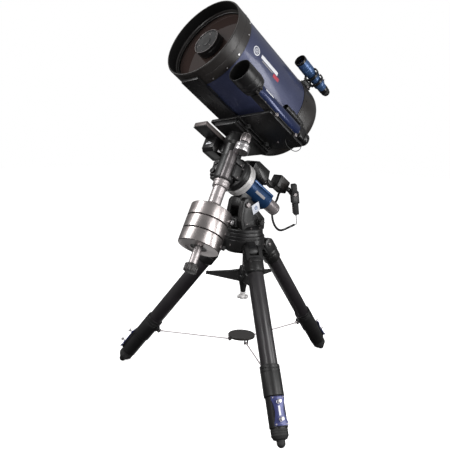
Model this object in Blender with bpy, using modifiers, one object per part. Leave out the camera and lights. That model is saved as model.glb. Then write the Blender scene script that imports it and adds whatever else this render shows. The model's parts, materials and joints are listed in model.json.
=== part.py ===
"""Large Schmidt-Cassegrain telescope on a German equatorial mount and a field tripod.

Metres, +Z up, polar axis towards -Y. The stand, the mount and the optical tube hang on
a chain of empties, one for each axis of motion, and every sub-part is one object.
"""

import math

import bmesh
import bpy
from mathutils import Matrix, Vector

# ---- driving dimensions -------------------------------------------------------------

GAP = 0.0003  # between touching pieces
APERTURE_RADIUS = 0.1778  # a 14 inch mirror

# tripod
LEG_AZIMUTHS = (-30.0, 90.0, 210.0)
HINGE_RADIUS = 0.140
HINGE_HEIGHT = 0.696
FOOT_RADIUS = 0.680
LEG_ANGLE = math.atan2(FOOT_RADIUS - HINGE_RADIUS, HINGE_HEIGHT)
LEG_TUBE_RADIUS = 0.0375
LEG_TUBE_INSIDE = 0.0345
EXTENSION_RADIUS = 0.0330
COLLAR_TOP = 0.543  # distances down the leg from its hinge
TUBE_END = 0.600
COLLAR_STEP = 0.673
COLLAR_END = 0.800
FOOT_TOP = 0.803
BRACE_PIVOT_DOWN = 0.578
BRACE_PIVOT_INWARD = 0.058
BRACE_OFFSET = 0.010  # the rods pass one another beside the centre
CLAMP_SEAT = 0.0423  # flat of the leg clamp, out from the leg's axis
TRAY_HEIGHT = 0.235
TRAY_RADIUS = 0.068
TRAY_PIVOT_RADIUS = 0.056
TRAY_PIVOT_HEIGHT = 0.212
HEAD_TOP = 0.757
TONGUE_HALF_WIDTH = 0.0215
YOKE_HALF_WIDTH = 0.040
SPREADER_HEIGHT = 0.545
SPREADER_REACH = 0.195

# mount
LATITUDE = 33.0
HOUR_ANGLE = 9.0
PIVOT = Vector((0.0, -0.045, 0.909))  # latitude pivot
PIVOT_TO_POLAR_AXIS = 0.099
PIVOT_TO_DEC_AXIS = 0.169
RA_RING_RADIUS = 0.083
RA_RING_FRONT = -0.081
RA_RING_BACK = -0.117
RA_BODY_RADIUS = 0.051
RA_BODY_END = -0.316
POLAR_SHAFT_RADIUS = 0.030
POLAR_SHAFT_END = -0.285
DEC_BODY_RADIUS = 0.047
DEC_SHAFT_RADIUS = 0.025
DEC_SHAFT_END = -0.030
HOUSING_END = -0.074
SLEEVE_END = -0.200
SLEEVE_RADIUS = 0.031
SHAFT_RADIUS = 0.019
WEIGHT_RADIUS = 0.097
WEIGHT_HEIGHT = 0.0612
WEIGHT_PITCH = 0.0640
WEIGHT_KNOB_ANGLE = 35.0
FIRST_WEIGHT = -0.2565  # centre of the top weight, along the Dec axis
SHAFT_END = -0.493
HANDSET_HALF = Vector((0.028, 0.014, 0.078))
CORD_RADIUS = 0.0018
COIL_RADIUS = 0.0062
COIL_ROUTE = (
    (0.0122, 0.0860, -0.376), (0.0122, 0.0740, -0.376), (-0.008, 0.056, -0.402), (-0.036, 0.028, -0.430),
    (-0.044, -0.004, -0.450), (-0.026, -0.040, -0.458), (0.012, -0.074, -0.460), (0.054, -0.086, -0.458),
    (0.090, -0.058, -0.466), (0.105, -0.030, -0.482),
)

# optical tube, along its own axis from the Dec axis
TUBE_OFFSET = 0.4346
TUBE_RADIUS = 0.2045
TUBE_WALL = 0.004
CELL_RADIUS = 0.2075
MOUTH = 0.410
FRONT_CELL_BACK = 0.320
CORRECTOR_FACE = 0.343
REAR_CELL_FRONT = -0.136
REAR_CELL_BACK = -0.305
BAFFLE_RADIUS = 0.036
MIRROR_FACE = -0.205
FINDER_DISTANCE = 0.270
FINDER_ANGLE = 50.0  # from the side of the tube towards the top
FINDER_FRONT = -0.054
BAR_TOP = -0.2080
PLATE_TOP = -0.2248
PLATE_FRONT = 0.112
PLATE_BACK = -0.165
GUIDE_X = 0.245
GUIDE_Y = -0.188
GUIDE_FRONT = 0.345
GUIDE_SHIELD_LENGTH = 0.122
GUIDE_BODY_LENGTH = 0.330
GUIDE_CABLE_ROUTE = (
    (0.215, -0.2388, -0.090), (0.215, -0.250, -0.092), (0.220, -0.266, -0.115), (0.230, -0.262, -0.160),
    (0.238, -0.235, -0.182), (0.240, -0.206, -0.172), (0.240, -0.200, -0.1535),
)

# ---- colours: name -> (rgb, roughness, metallic) -------------------------------------

FINISHES = {
    "black_casting": ((0.022, 0.022, 0.024), 0.50, 0.0),
    "dark_grey": ((0.060, 0.058, 0.056), 0.45, 0.0),
    "deep_black": ((0.006, 0.006, 0.006), 0.75, 0.0),
    "tube_blue": ((0.062, 0.075, 0.185), 0.35, 0.2),
    "bright_blue": ((0.030, 0.110, 0.400), 0.30, 0.2),
    "steel": ((0.560, 0.530, 0.530), 0.28, 1.0),
    "chrome": ((0.720, 0.720, 0.720), 0.12, 1.0),
    "ring_grey": ((0.600, 0.600, 0.600), 0.45, 0.4),
    "glass": ((0.300, 0.260, 0.250), 0.05, 0.0),
    "mirror": ((0.850, 0.850, 0.850), 0.03, 1.0),
    "rubber": ((0.012, 0.012, 0.012), 0.80, 0.0),
}

# ---- scene helpers -------------------------------------------------------------------


def clear_scene():
    for old in list(bpy.data.objects):
        bpy.data.objects.remove(old, do_unlink=True)


def new_collection(name):
    collection = bpy.data.collections.new(name)
    bpy.context.scene.collection.children.link(collection)
    return collection


clear_scene()
PARTS = new_collection("schmidt_cassegrain_telescope")
CUTTERS = new_collection("cutters")


def material(finish):
    name = "cad_" + finish
    found = bpy.data.materials.get(name)
    if found:
        return found
    colour, roughness, metallic = FINISHES[finish]
    made = bpy.data.materials.new(name)
    made.use_nodes = True
    shader = made.node_tree.nodes["Principled BSDF"]
    shader.inputs["Base Color"].default_value = (*colour, 1.0)
    shader.inputs["Roughness"].default_value = roughness
    shader.inputs["Metallic"].default_value = metallic
    return made


def empty(name, parent, location=(0, 0, 0), rotation=(0, 0, 0)):
    """An axis or a frame: location in metres, rotation in degrees."""
    made = bpy.data.objects.new(name, None)
    bpy.context.scene.collection.objects.link(made)
    made.parent = parent
    made.location = location
    made.rotation_euler = [math.radians(angle) for angle in rotation]
    return made


def add(name, mesh, parent, finish=None, location=(0, 0, 0), rotation=(0, 0, 0)):
    """A part when it has a finish, else a cutter or a piece to be joined."""
    made = bpy.data.objects.new(name, mesh)
    (PARTS if finish else CUTTERS).objects.link(made)
    made.parent = parent
    made.location = location
    made.rotation_euler = [math.radians(angle) for angle in rotation]
    if finish:
        mesh.materials.clear()
        mesh.materials.append(material(finish))
    else:
        made.hide_render = True
        made.display_type = "WIRE"
    return made


def boolean(target, other, operation):
    modifier = target.modifiers.new(operation.lower(), "BOOLEAN")
    modifier.operation = operation
    modifier.object = other
    modifier.solver = "EXACT"


def cut(target, *others):
    for other in others:
        boolean(target, other, "DIFFERENCE")


def join(target, *others):
    for other in others:
        boolean(target, other, "UNION")


# ---- shape helpers: each returns a mesh ------------------------------------------------


def box(low, high, bevel=0.0):
    """A box between two corners, its edges rounded by bevel."""
    low, high = Vector(low), Vector(high)
    mesh = bpy.data.meshes.new("box")
    shape = bmesh.new()
    size = Matrix.Diagonal((*(high - low), 1.0))
    bmesh.ops.create_cube(shape, size=1.0, matrix=Matrix.Translation((low + high) / 2) @ size)
    if bevel:
        bmesh.ops.bevel(
            shape, geom=shape.edges[:], offset=bevel, segments=1, profile=0.5, affect="EDGES"
        )
    shape.to_mesh(mesh)
    shape.free()
    return mesh


def rod(radius, start, end, sides=24):
    """A closed cylinder between two points."""
    start, end = Vector(start), Vector(end)
    mesh = bpy.data.meshes.new("rod")
    shape = bmesh.new()
    turn = (end - start).to_track_quat("Z", "Y").to_matrix().to_4x4()
    place = Matrix.Translation((start + end) / 2) @ turn
    bmesh.ops.create_cone(
        shape, cap_ends=True, segments=sides, radius1=radius, radius2=radius,
        depth=(end - start).length, matrix=place,
    )
    shape.to_mesh(mesh)
    shape.free()
    return mesh


def turned(profile, steps=32, closed=False):
    """A mesh turned about Z from (radius, height) points, outer side from top to bottom."""
    outline = bpy.data.meshes.new("profile")
    points = [(radius, 0.0, height) for radius, height in profile]
    edges = [(i, i + 1) for i in range(len(points) - 1)]
    if closed:
        edges.append((len(points) - 1, 0))
    outline.from_pydata(points, edges, [])
    helper = bpy.data.objects.new("turning", outline)
    bpy.context.scene.collection.objects.link(helper)
    screw = helper.modifiers.new("screw", "SCREW")
    screw.axis = "Z"
    screw.steps = steps
    screw.render_steps = steps
    screw.use_merge_vertices = True
    screw.merge_threshold = 0.00001
    mesh = baked(helper)
    bpy.data.meshes.remove(outline)
    return mesh


def baked(helper):
    """The evaluated mesh of a helper object, which is then removed."""
    bpy.context.view_layer.update()
    graph = bpy.context.evaluated_depsgraph_get()
    mesh = bpy.data.meshes.new_from_object(helper.evaluated_get(graph))
    bpy.data.objects.remove(helper, do_unlink=True)
    return mesh


def welded(mesh):
    shape = bmesh.new()
    shape.from_mesh(mesh)
    bmesh.ops.remove_doubles(shape, verts=shape.verts[:], dist=0.00001)
    shape.to_mesh(mesh)
    shape.free()
    return mesh


def plate(outline, thickness):
    """A flat outline in XY, extruded evenly to both sides of Z = 0."""
    curve = bpy.data.curves.new("outline", "CURVE")
    curve.dimensions = "2D"
    curve.fill_mode = "BOTH"
    curve.extrude = thickness / 2
    spline = curve.splines.new("POLY")
    spline.points.add(len(outline) - 1)
    for point, (x, y) in zip(spline.points, outline):
        point.co = (x, y, 0.0, 1.0)
    spline.use_cyclic_u = True
    helper = bpy.data.objects.new("extrusion", curve)
    bpy.context.scene.collection.objects.link(helper)
    mesh = welded(baked(helper))
    bpy.data.curves.remove(curve)
    return mesh


def cable(route, radius, bevel_resolution=2):
    """A round cable along a smooth curve through the route's points."""
    curve = bpy.data.curves.new("cable", "CURVE")
    curve.dimensions = "3D"
    curve.bevel_depth = radius
    curve.bevel_resolution = bevel_resolution
    curve.use_fill_caps = True
    points = smooth(route)
    spline = curve.splines.new("POLY")
    spline.points.add(len(points) - 1)
    for point, place in zip(spline.points, points):
        point.co = (*place, 1.0)
    helper = bpy.data.objects.new("lay", curve)
    bpy.context.scene.collection.objects.link(helper)
    mesh = welded(baked(helper))
    bpy.data.curves.remove(curve)
    return mesh


def smooth(route, pieces=3):
    """Points on a Catmull-Rom curve through the route."""
    route = [Vector(point) for point in route]
    ends = [2 * route[0] - route[1], *route, 2 * route[-1] - route[-2]]
    points = []
    for a, b, c, d in zip(ends, ends[1:], ends[2:], ends[3:]):
        for step in range(pieces):
            t = step / pieces
            points.append(
                0.5 * (2 * b + (c - a) * t + (2 * a - 5 * b + 4 * c - d) * t * t
                       + (3 * b - 3 * c + d - a) * t ** 3)
            )
    points.append(route[-1])
    return points


def lobed(radius, depth, lobes):
    """The outline of a knob with round lobes."""
    count = lobes * 4
    return [
        (
            (radius - depth / 2 + depth / 2 * math.cos(lobes * angle)) * math.cos(angle),
            (radius - depth / 2 + depth / 2 * math.cos(lobes * angle)) * math.sin(angle),
        )
        for angle in (math.tau * i / count for i in range(count))
    ]


def stadium(half_length, radius, steps=6):
    """An outline with round ends, long in X."""
    points = []
    for side in (1, -1):
        for i in range(steps + 1):
            angle = math.pi * (i / steps - 0.5)
            points.append((side * (half_length + radius * math.cos(angle)),
                           side * radius * math.sin(angle)))
    return points


# ---- frames of motion ------------------------------------------------------------------

STAND = empty("stand", None)
AZIMUTH = empty("azimuth_axis", STAND)
TILT = empty("latitude_axis", AZIMUTH, PIVOT, (90.0 - LATITUDE, 0, 0))
POLAR = empty("polar_axis", TILT, (0, PIVOT_TO_POLAR_AXIS, PIVOT_TO_DEC_AXIS))
HOUR = empty("hour_axis", POLAR, rotation=(0, 0, HOUR_ANGLE))
DEC = empty("dec_axis", HOUR)
OPTICS = empty("optical_axis", DEC, (0, TUBE_OFFSET, 0))
HANDSET_LEVEL = empty("handset_level", POLAR, (0.088, 0.080, -0.420), (LATITUDE - 90.0, 0, 0))
HANDSET = empty("handset_frame", HANDSET_LEVEL, rotation=(7.0, 0, -43.0))
FINDER = empty(
    "finder_frame", OPTICS,
    (FINDER_DISTANCE * math.cos(math.radians(FINDER_ANGLE)),
     FINDER_DISTANCE * math.sin(math.radians(FINDER_ANGLE)), FINDER_FRONT),
    (0, 0, FINDER_ANGLE),
)
GUIDE = empty("guide_frame", OPTICS, (GUIDE_X, GUIDE_Y, GUIDE_FRONT))

# ---- tripod ------------------------------------------------------------------------------


def tripod_head():
    """Cast head with a lug and hinge pin for each leg, and the threaded centre rod below it."""
    top = HEAD_TOP - GAP
    profile = [(0, top), (0.097, top), (0.097, 0.690), (0.088, 0.676), (0, 0.676)]
    head = add("tripod_head", turned(profile, 32), STAND, "black_casting")
    for angle in LEG_AZIMUTHS:
        half = TONGUE_HALF_WIDTH
        lug = box((0.070, -half, 0.676), (HINGE_RADIUS, half, HINGE_HEIGHT + 0.028))
        join(head, add("lug", lug, STAND, rotation=(0, 0, angle)))
        for name, radius, reach, sides in (("lug_end", 0.028, half, 20), ("hinge_pin", 0.008, 0.044, 10)):
            ends = [(HINGE_RADIUS, side * reach, HINGE_HEIGHT) for side in (-1, 1)]
            join(head, add(name, rod(radius, *ends, sides), STAND, rotation=(0, 0, angle)))
    join(head, add("centre_rod", rod(0.008, (0, 0, 0.440), (0, 0, 0.690), 12), STAND))
    return head


def spreader_hub():
    """Three wedge arms and a cone on the centre rod; the arm tips stop at the legs."""
    low = SPREADER_HEIGHT
    profile = [
        (0.0095, low + 0.052), (0.020, low + 0.052), (0.024, low + 0.030), (0.024, low - 0.025),
        (0.012, low - 0.082), (0.0095, low - 0.082),
    ]
    hub = add("spreader_hub", turned(profile, 20, closed=True), STAND, "black_casting")
    arm = [
        (0.018, low - 0.028), (SPREADER_REACH, low - 0.008), (SPREADER_REACH, low + 0.004),
        (0.070, low + 0.022), (0.018, low + 0.034),
    ]
    for angle in LEG_AZIMUTHS:
        join(hub, add("arm", plate(arm, 0.020), STAND, rotation=(90, 0, angle)))
    bore = rod(0.0095, (0, 0, low - 0.1), (0, 0, low + 0.1), 16)
    cut(hub, add("hub_bore", bore, STAND))
    return hub


def tension_knob():
    knob = add("tension_knob", plate(lobed(0.029, 0.008, 6), 0.016), STAND, "chrome", (0, 0, 0.4385))
    boss = rod(0.014, (0, 0, 0.446), (0, 0, SPREADER_HEIGHT - 0.082 - GAP), 16)
    join(knob, add("knob_boss", boss, STAND))
    cut(knob, add("knob_bore", rod(0.0085, (0, 0, 0.438), (0, 0, 0.5), 12), STAND))
    return knob


def brace_tray():
    low = TRAY_HEIGHT - 0.006
    profile = [(0, low + 0.012), (TRAY_RADIUS, low + 0.012), (TRAY_RADIUS, low), (0, low)]
    tray = add("brace_tray", turned(profile, 32), STAND, "dark_grey")
    for angle in LEG_AZIMUTHS:
        for side in (-1, 1):
            beside = BRACE_OFFSET + side * 0.007
            ear = box((TRAY_PIVOT_RADIUS - 0.008, beside - 0.002, TRAY_PIVOT_HEIGHT - 0.008),
                      (TRAY_PIVOT_RADIUS + 0.008, beside + 0.002, low + 0.004))
            join(tray, add("tray_ear", ear, STAND, rotation=(0, 0, angle)))
    return tray


def tripod_leg(number, azimuth):
    """One folding leg: the frame's -Z runs down the leg and +X faces outward."""
    hinge = (HINGE_RADIUS * math.cos(math.radians(azimuth)),
             HINGE_RADIUS * math.sin(math.radians(azimuth)), HINGE_HEIGHT)
    frame = empty(f"leg_{number}_hinge", STAND, hinge, (0, -math.degrees(LEG_ANGLE), azimuth))
    leg_tube(number, frame)
    leg_collar(number, frame)
    leg_extension(number, frame)
    leg_foot(number, frame)
    leg_clamp(number, frame)
    brace_rod(number, frame)


def leg_tube(number, frame):
    """Aluminium tube under a cast yoke that turns on the head's hinge pin."""
    profile = [
        (0, -0.047), (0.042, -0.047), (0.0455, -0.052), (0.0455, -0.108), (LEG_TUBE_RADIUS, -0.116),
        (LEG_TUBE_RADIUS, -TUBE_END), (LEG_TUBE_INSIDE, -TUBE_END), (LEG_TUBE_INSIDE, -0.125),
        (0, -0.125),
    ]
    tube = add(f"leg_{number}_tube", turned(profile, 24), frame, "black_casting")
    half = YOKE_HALF_WIDTH
    join(tube, add("yoke_end", rod(0.031, (0, -half, 0), (0, half, 0), 20), frame))
    join(tube, add("yoke", box((-0.031, -half, -0.058), (0.031, half, 0.0)), frame))
    slot = TONGUE_HALF_WIDTH + 0.0008
    cut(tube, add("yoke_slot", box((-0.1, -slot, -0.0455), (0.1, slot, 0.1)), frame))
    cut(tube, add("yoke_bore", rod(0.0085, (0, -0.05, 0), (0, 0.05, 0), 10), frame))


def leg_collar(number, frame):
    """Cast collar at the tube's end, with the slimmer clamp section and the brace ear."""
    profile = [
        (0.0435, -COLLAR_TOP), (0.0435, -COLLAR_STEP), (0.0390, -COLLAR_STEP - 0.003), (0.0390, -COLLAR_END),
        (0.0345, -COLLAR_END), (0.0345, -TUBE_END - GAP),
        (LEG_TUBE_RADIUS + GAP, -TUBE_END - GAP), (LEG_TUBE_RADIUS + GAP, -COLLAR_TOP),
    ]
    collar = add(f"leg_{number}_collar", turned(profile, 24, closed=True), frame, "black_casting")
    for side in (-1, 1):
        beside = BRACE_OFFSET + side * 0.007
        ear = box((-BRACE_PIVOT_INWARD - 0.008, beside - 0.002, -BRACE_PIVOT_DOWN - 0.008),
                  (-0.040, beside + 0.002, -BRACE_PIVOT_DOWN + 0.008))
        join(collar, add("brace_ear", ear, frame))


def leg_extension(number, frame):
    profile = [(EXTENSION_RADIUS, -0.300), (EXTENSION_RADIUS, -FOOT_TOP), (0.030, -FOOT_TOP), (0.030, -0.300)]
    add(f"leg_{number}_extension", turned(profile, 20, closed=True), frame, "dark_grey")


def leg_foot(number, frame):
    """Rubber foot with a ball end that meets the ground."""
    ball = 0.018
    centre = (HINGE_HEIGHT - ball) / math.cos(LEG_ANGLE)
    top = -FOOT_TOP - GAP
    profile = [(0, top), (0.0365, top), (0.0365, top - 0.028), (0.029, top - 0.040), (ball, top - 0.044)]
    for i in range(5):
        angle = math.radians(22.5 * i)
        profile.append((ball * math.cos(angle), -centre - ball * math.sin(angle)))
    add(f"leg_{number}_foot", turned(profile, 20), frame, "rubber")


def leg_clamp(number, frame):
    """Blue clamp plate with a narrow waist, and its two round thumb knobs."""
    low, high = -0.797, -0.679
    middle = (low + high) / 2
    outline = []
    for side in (1, -1):
        for step in range(7):
            along = side * (1 - step / 3) * (high - low) / 2
            waist = 0.020 + 0.009 * min(1.0, (abs(along) / 0.045) ** 2)
            outline.append((side * waist, middle + along))
    clamp = plate(outline, 0.006)
    seat = CLAMP_SEAT + 0.003 + GAP
    made = add(f"leg_{number}_clamp", clamp, frame, "bright_blue", (seat, 0, 0), (90, 0, 90))
    for down in (0.703, 0.773):
        knob = rod(0.0085, (seat, 0.0, -down), (seat + 0.026, 0.0, -down), 12)
        join(made, add("clamp_knob", knob, frame))


def brace_rod(number, frame):
    """Thin rod from the leg collar's ear in to the tray, below it."""
    outer = Vector((-BRACE_PIVOT_INWARD, BRACE_OFFSET, -BRACE_PIVOT_DOWN))
    level = Matrix.Rotation(LEG_ANGLE, 3, "Y")
    inner = level @ Vector(
        (TRAY_PIVOT_RADIUS - HINGE_RADIUS, BRACE_OFFSET, TRAY_PIVOT_HEIGHT - HINGE_HEIGHT)
    )
    pivot = empty(f"leg_{number}_brace_pivot", frame, outer)
    add(f"brace_rod_{number}", rod(0.0035, (0, 0, 0), inner - outer, 8), pivot, "steel")


# ---- mount -------------------------------------------------------------------------------


def mount_base():
    """Azimuth disc with the forked polar casting that holds the latitude pivot."""
    profile = [(0, 0.800), (0.070, 0.800), (0.088, 0.788), (0.090, HEAD_TOP), (0, HEAD_TOP)]
    base = add("mount_base", turned(profile, 32), AZIMUTH, "black_casting")
    side = [
        (-0.068, 0.780), (0.082, 0.780), (0.082, 0.835), (0.020, 0.893), (-0.015, 0.932),
        (-0.034, 0.944), (-0.052, 0.942), (-0.066, 0.928), (-0.078, 0.880), (-0.082, 0.830),
    ]
    fork = plate(side, 0.110)
    join(base, add("fork", fork, AZIMUTH, rotation=(90, 0, 90)))
    cut(base, add("fork_slot", box((-0.0285, -0.2, 0.850), (0.0285, 0.2, 1.2)), AZIMUTH))
    scale = [(-0.012, -0.030), (0.034, -0.008), (0.022, 0.034), (-0.026, 0.014)]
    join(base, add("latitude_plate", plate(scale, 0.004), AZIMUTH, None, (0.056, 0.006, 0.889), (90, 0, 90)))
    screw = rod(0.006, (0.050, 0.034, 0.820), (0.0675, 0.034, 0.820), 12)
    join(base, add("azimuth_screw", screw, AZIMUTH))
    bore = rod(0.0105, PIVOT - Vector((0.1, 0, 0)), PIVOT + Vector((0.1, 0, 0)), 16)
    cut(base, add("pivot_bore", bore, AZIMUTH))
    return base


def latitude_bolt():
    """Pivot bolt through both cheeks, with a round head on each side."""
    profile = [
        (0, 0.068), (0.013, 0.068), (0.013, 0.0553), (0.010, 0.0553), (0.010, -0.0553),
        (0.013, -0.0553), (0.013, -0.068), (0, -0.068),
    ]
    return add("latitude_bolt", turned(profile, 16), AZIMUTH, "chrome", PIVOT, (0, 90, 0))


def azimuth_knob():
    knob = plate(lobed(0.017, 0.004, 8), 0.020)
    return add("azimuth_knob", knob, AZIMUTH, "black_casting", (0.078, 0.034, 0.820), (0, 90, 0))


def ra_housing():
    """Right ascension body on its lug between the fork's cheeks."""
    top = RA_RING_BACK - GAP
    profile = [(0, top), (RA_BODY_RADIUS, top), (RA_BODY_RADIUS, RA_BODY_END + 0.005),
               (0.046, RA_BODY_END), (0, RA_BODY_END)]
    body = add("ra_housing", turned(profile, 32), POLAR, "tube_blue")
    lug = [(-0.205, -0.030), (-0.130, -0.030), (-0.140, -0.099), (-0.149, -0.119), (-0.169, -0.127),
           (-0.189, -0.119), (-0.198, -0.099)]
    shape = plate([(-z, y) for z, y in lug], 0.054)
    join(body, add("lug", shape, POLAR, rotation=(0, 90, 0)))
    strip = box((0.036, 0.020, -0.308), (0.054, 0.032, -0.150), 0.003)
    join(body, add("strip", strip, POLAR))
    shaft_bore = rod(POLAR_SHAFT_RADIUS + 0.0005, (0, 0, -0.290), (0, 0, 0), 24)
    cut(body, add("shaft_bore", shaft_bore, POLAR))
    bore = rod(0.0105, (-0.1, -PIVOT_TO_POLAR_AXIS, -PIVOT_TO_DEC_AXIS),
               (0.1, -PIVOT_TO_POLAR_AXIS, -PIVOT_TO_DEC_AXIS), 16)
    cut(body, add("lug_bore", bore, POLAR))
    return body


def ra_rear_cap():
    top = RA_BODY_END - GAP
    profile = [(0, top), (0.033, top), (0.033, -0.402), (0.031, -0.410), (0.025, -0.414), (0, -0.414)]
    return add("ra_rear_cap", turned(profile, 24), POLAR, "steel")


def ra_setting_ring():
    profile = [(RA_RING_RADIUS, RA_RING_FRONT), (RA_RING_RADIUS, RA_RING_BACK), (0.040, RA_RING_BACK),
               (0.040, RA_RING_FRONT)]
    return add("ra_setting_ring", turned(profile, 40, closed=True), POLAR, "ring_grey")


def ra_motor_cover():
    """Chamfered cover over the right ascension drive."""
    side = [(0.119, 0.0525), (0.246, 0.0525), (0.252, 0.070), (0.232, 0.127), (0.140, 0.127), (0.119, 0.108)]
    cover = plate(side, 0.088)
    return add("ra_motor_cover", cover, POLAR, "black_casting", (-0.010, 0, 0), (0, 90, 0))


def panel_box():
    """Control panel box on its arm behind the drive cover."""
    made = add("panel_box", box((-0.018, 0.088, -0.392), (0.042, 0.155, -0.310), 0.005), POLAR, "dark_grey")
    arm = box((-0.016, 0.078, -0.325), (0.016, 0.100, -0.2525), 0.003)
    join(made, add("panel_arm", arm, POLAR))
    return made


def handset_bracket():
    """Cradle around the handset on an arm from the panel box."""
    half = HANDSET_HALF
    elbow = Vector((0.068, 0.104, -0.370))
    made = add("handset_bracket", rod(0.008, (0.038, elbow.y, elbow.z), elbow, 12), POLAR)
    join(made, add("bracket_arm", rod(0.008, elbow - Vector((0.004, 0, 0)), (0.086, 0.082, -0.416), 12), POLAR))
    cradle = box((-half.x - 0.005, -half.y - 0.005, -0.020), (half.x + 0.005, half.y + 0.005, 0.040), 0.003)
    join(made, add("cradle", cradle, HANDSET))
    pocket = box((-half.x - GAP, -half.y - GAP, -0.2), (half.x + GAP, half.y + GAP, 0.2))
    cut(made, add("pocket", pocket, HANDSET))
    return made


def handset():
    return add("handset", box(-HANDSET_HALF, HANDSET_HALF, 0.006), HANDSET, "rubber")


def handset_cord():
    """Curly cord from under the panel box, and its straight lead up to the handset."""
    add("handset_cord", cable(COIL_ROUTE, COIL_RADIUS), POLAR, "rubber")
    to_polar = POLAR.matrix_world.inverted() @ HANDSET.matrix_world
    top, below = (to_polar @ Vector((0, 0, -HANDSET_HALF.z - drop)) for drop in (0.001, 0.010))
    start = Vector(COIL_ROUTE[-1])
    ahead = (start - Vector(COIL_ROUTE[-2])).normalized()
    lead = (start + ahead * 0.0012, start + ahead * 0.007, below, top)
    add("handset_lead", cable(lead, CORD_RADIUS), POLAR, "rubber")


def head_casting():
    """Declination housing across the front of the right ascension output disc."""
    back = RA_RING_FRONT + GAP
    profile = [(0, -0.040), (0.072, -0.040), (0.080, -0.048), (0.080, back), (0, back)]
    head = add("head_casting", turned(profile, 36), HOUR, "black_casting")
    housing = [(0, 0.150), (DEC_BODY_RADIUS + 0.010, 0.150), (DEC_BODY_RADIUS + 0.010, 0.120),
               (DEC_BODY_RADIUS, 0.110), (DEC_BODY_RADIUS, -0.066), (0.041, HOUSING_END), (0, HOUSING_END)]
    join(head, add("dec_housing", turned(housing, 32), HOUR, rotation=(-90, 0, 0)))
    worm = box((-0.075, -0.055, -0.030), (-0.030, 0.045, 0.030), 0.014)
    join(head, add("worm_cover", worm, HOUR))
    bore = rod(DEC_SHAFT_RADIUS + 0.0005, (0, DEC_SHAFT_END - 0.004, 0), (0, 0.2, 0), 24)
    cut(head, add("dec_bore", bore, HOUR))
    return head


def polar_shaft():
    """Right ascension shaft, from the back of the declination housing into the body."""
    shaft = rod(POLAR_SHAFT_RADIUS, (0, 0, POLAR_SHAFT_END), (0, 0, RA_RING_FRONT), 24)
    return add("polar_shaft", shaft, HOUR, "steel")


def dec_motor_cover():
    """Declination drive cover with its flat top plate."""
    side = [(-0.045, 0.085), (-0.045, 0.143), (0.066, 0.143), (0.066, 0.085), (0.052, 0.070), (-0.030, 0.070)]
    cover = plate([(-z, y) for z, y in side], 0.074)
    made = add("dec_motor_cover", cover, HOUR, "black_casting", (-0.1110, 0, 0), (0, 90, 0))
    top = box((-0.142, 0.142, -0.040), (-0.061, 0.164, 0.163), 0.002)
    join(made, add("cover_plate", top, HOUR))
    return made


def dec_clutch_knob():
    """Bright cup with a ribbed grip, beside the declination housing."""
    axis = (0.080, 0, 0.025)
    profile = [(0, 0.110), (0.026, 0.110), (0.0335, 0.104), (0.0355, 0.098), (0.0355, 0.063), (0.032, 0.060),
               (0, 0.060)]
    knob = add("dec_clutch_knob", turned(profile, 28), HOUR, "chrome", axis, (-90, 0, 0))
    grip = plate(lobed(0.024, 0.004, 10), 0.054)
    join(knob, add("grip", grip, HOUR, None, (axis[0], 0.134, axis[2]), (90, 0, 0)))
    return knob


def dec_sleeve():
    """Bright flange and thick sleeve that carry the counterweight shaft."""
    top = HOUSING_END - GAP
    profile = [
        (0, top), (0.0385, top), (0.0385, -0.108), (SLEEVE_RADIUS, -0.112), (SLEEVE_RADIUS, SLEEVE_END + 0.006),
        (0.027, SLEEVE_END), (0, SLEEVE_END),
    ]
    return add("dec_sleeve", turned(profile, 28), HOUR, "steel", rotation=(-90, 0, 0))


def counterweight_shaft():
    top = SLEEVE_END - GAP
    shaft = rod(SHAFT_RADIUS, (0, top, 0), (0, SHAFT_END, 0), 28)
    return add("counterweight_shaft", shaft, HOUR, "steel")


def counterweight(number, centre):
    """Steel disc bored for the shaft, with a clamp screw in its rim."""
    half = WEIGHT_HEIGHT / 2
    bore = SHAFT_RADIUS + 0.0006
    profile = [(WEIGHT_RADIUS, half), (WEIGHT_RADIUS, -half), (bore, -half), (bore, half)]
    frame = empty(f"counterweight_{number}_slide", HOUR, (0, centre, 0), (-90, 0, 0))
    weight = add(f"counterweight_{number}", turned(profile, 40, closed=True), frame, "steel")
    turn = math.radians(WEIGHT_KNOB_ANGLE)
    way = Vector((math.cos(turn), math.sin(turn), 0))
    knob = rod(0.011, way * (WEIGHT_RADIUS - 0.006), way * (WEIGHT_RADIUS + 0.018), 12)
    join(weight, add("clamp_screw", knob, frame))


def toe_saver():
    """Ribbed stop that screws onto the shaft's end."""
    knob = plate(lobed(0.032, 0.003, 12), 0.034)
    made = add("toe_saver", knob, HOUR, "dark_grey", (0, SHAFT_END - GAP - 0.021, 0), (90, 0, 0))
    washer = rod(0.024, (0, SHAFT_END - GAP, 0), (0, SHAFT_END - 0.008, 0), 24)
    join(made, add("toe_washer", washer, HOUR))
    return made


# ---- optical tube --------------------------------------------------------------------------


def saddle_plate():
    """Wide plate under the tube, with the dovetail clamp and the declination shaft."""
    top = PLATE_TOP
    made = add("saddle_plate", box((-0.100, top - 0.0135, PLATE_BACK), (0.262, top, PLATE_FRONT)), OPTICS,
               "black_casting")
    clamp = box((-0.070, -0.262, PLATE_BACK), (0.066, top - 0.010, PLATE_FRONT - 0.006))
    join(made, add("clamp", clamp, OPTICS))
    join(made, add("dec_flange", rod(0.050, (0, 0.1503, 0), (0, 0.180, 0), 28), DEC))
    join(made, add("dec_shaft", rod(DEC_SHAFT_RADIUS, (0, DEC_SHAFT_END, 0), (0, 0.160, 0), 24), DEC))
    for along in (0.080, -0.078):
        knob = rod(0.0064, (0.255, top - 0.0068, along), (0.284, top - 0.0068, along), 12)
        join(made, add("edge_knob", knob, OPTICS))
    return made


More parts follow.
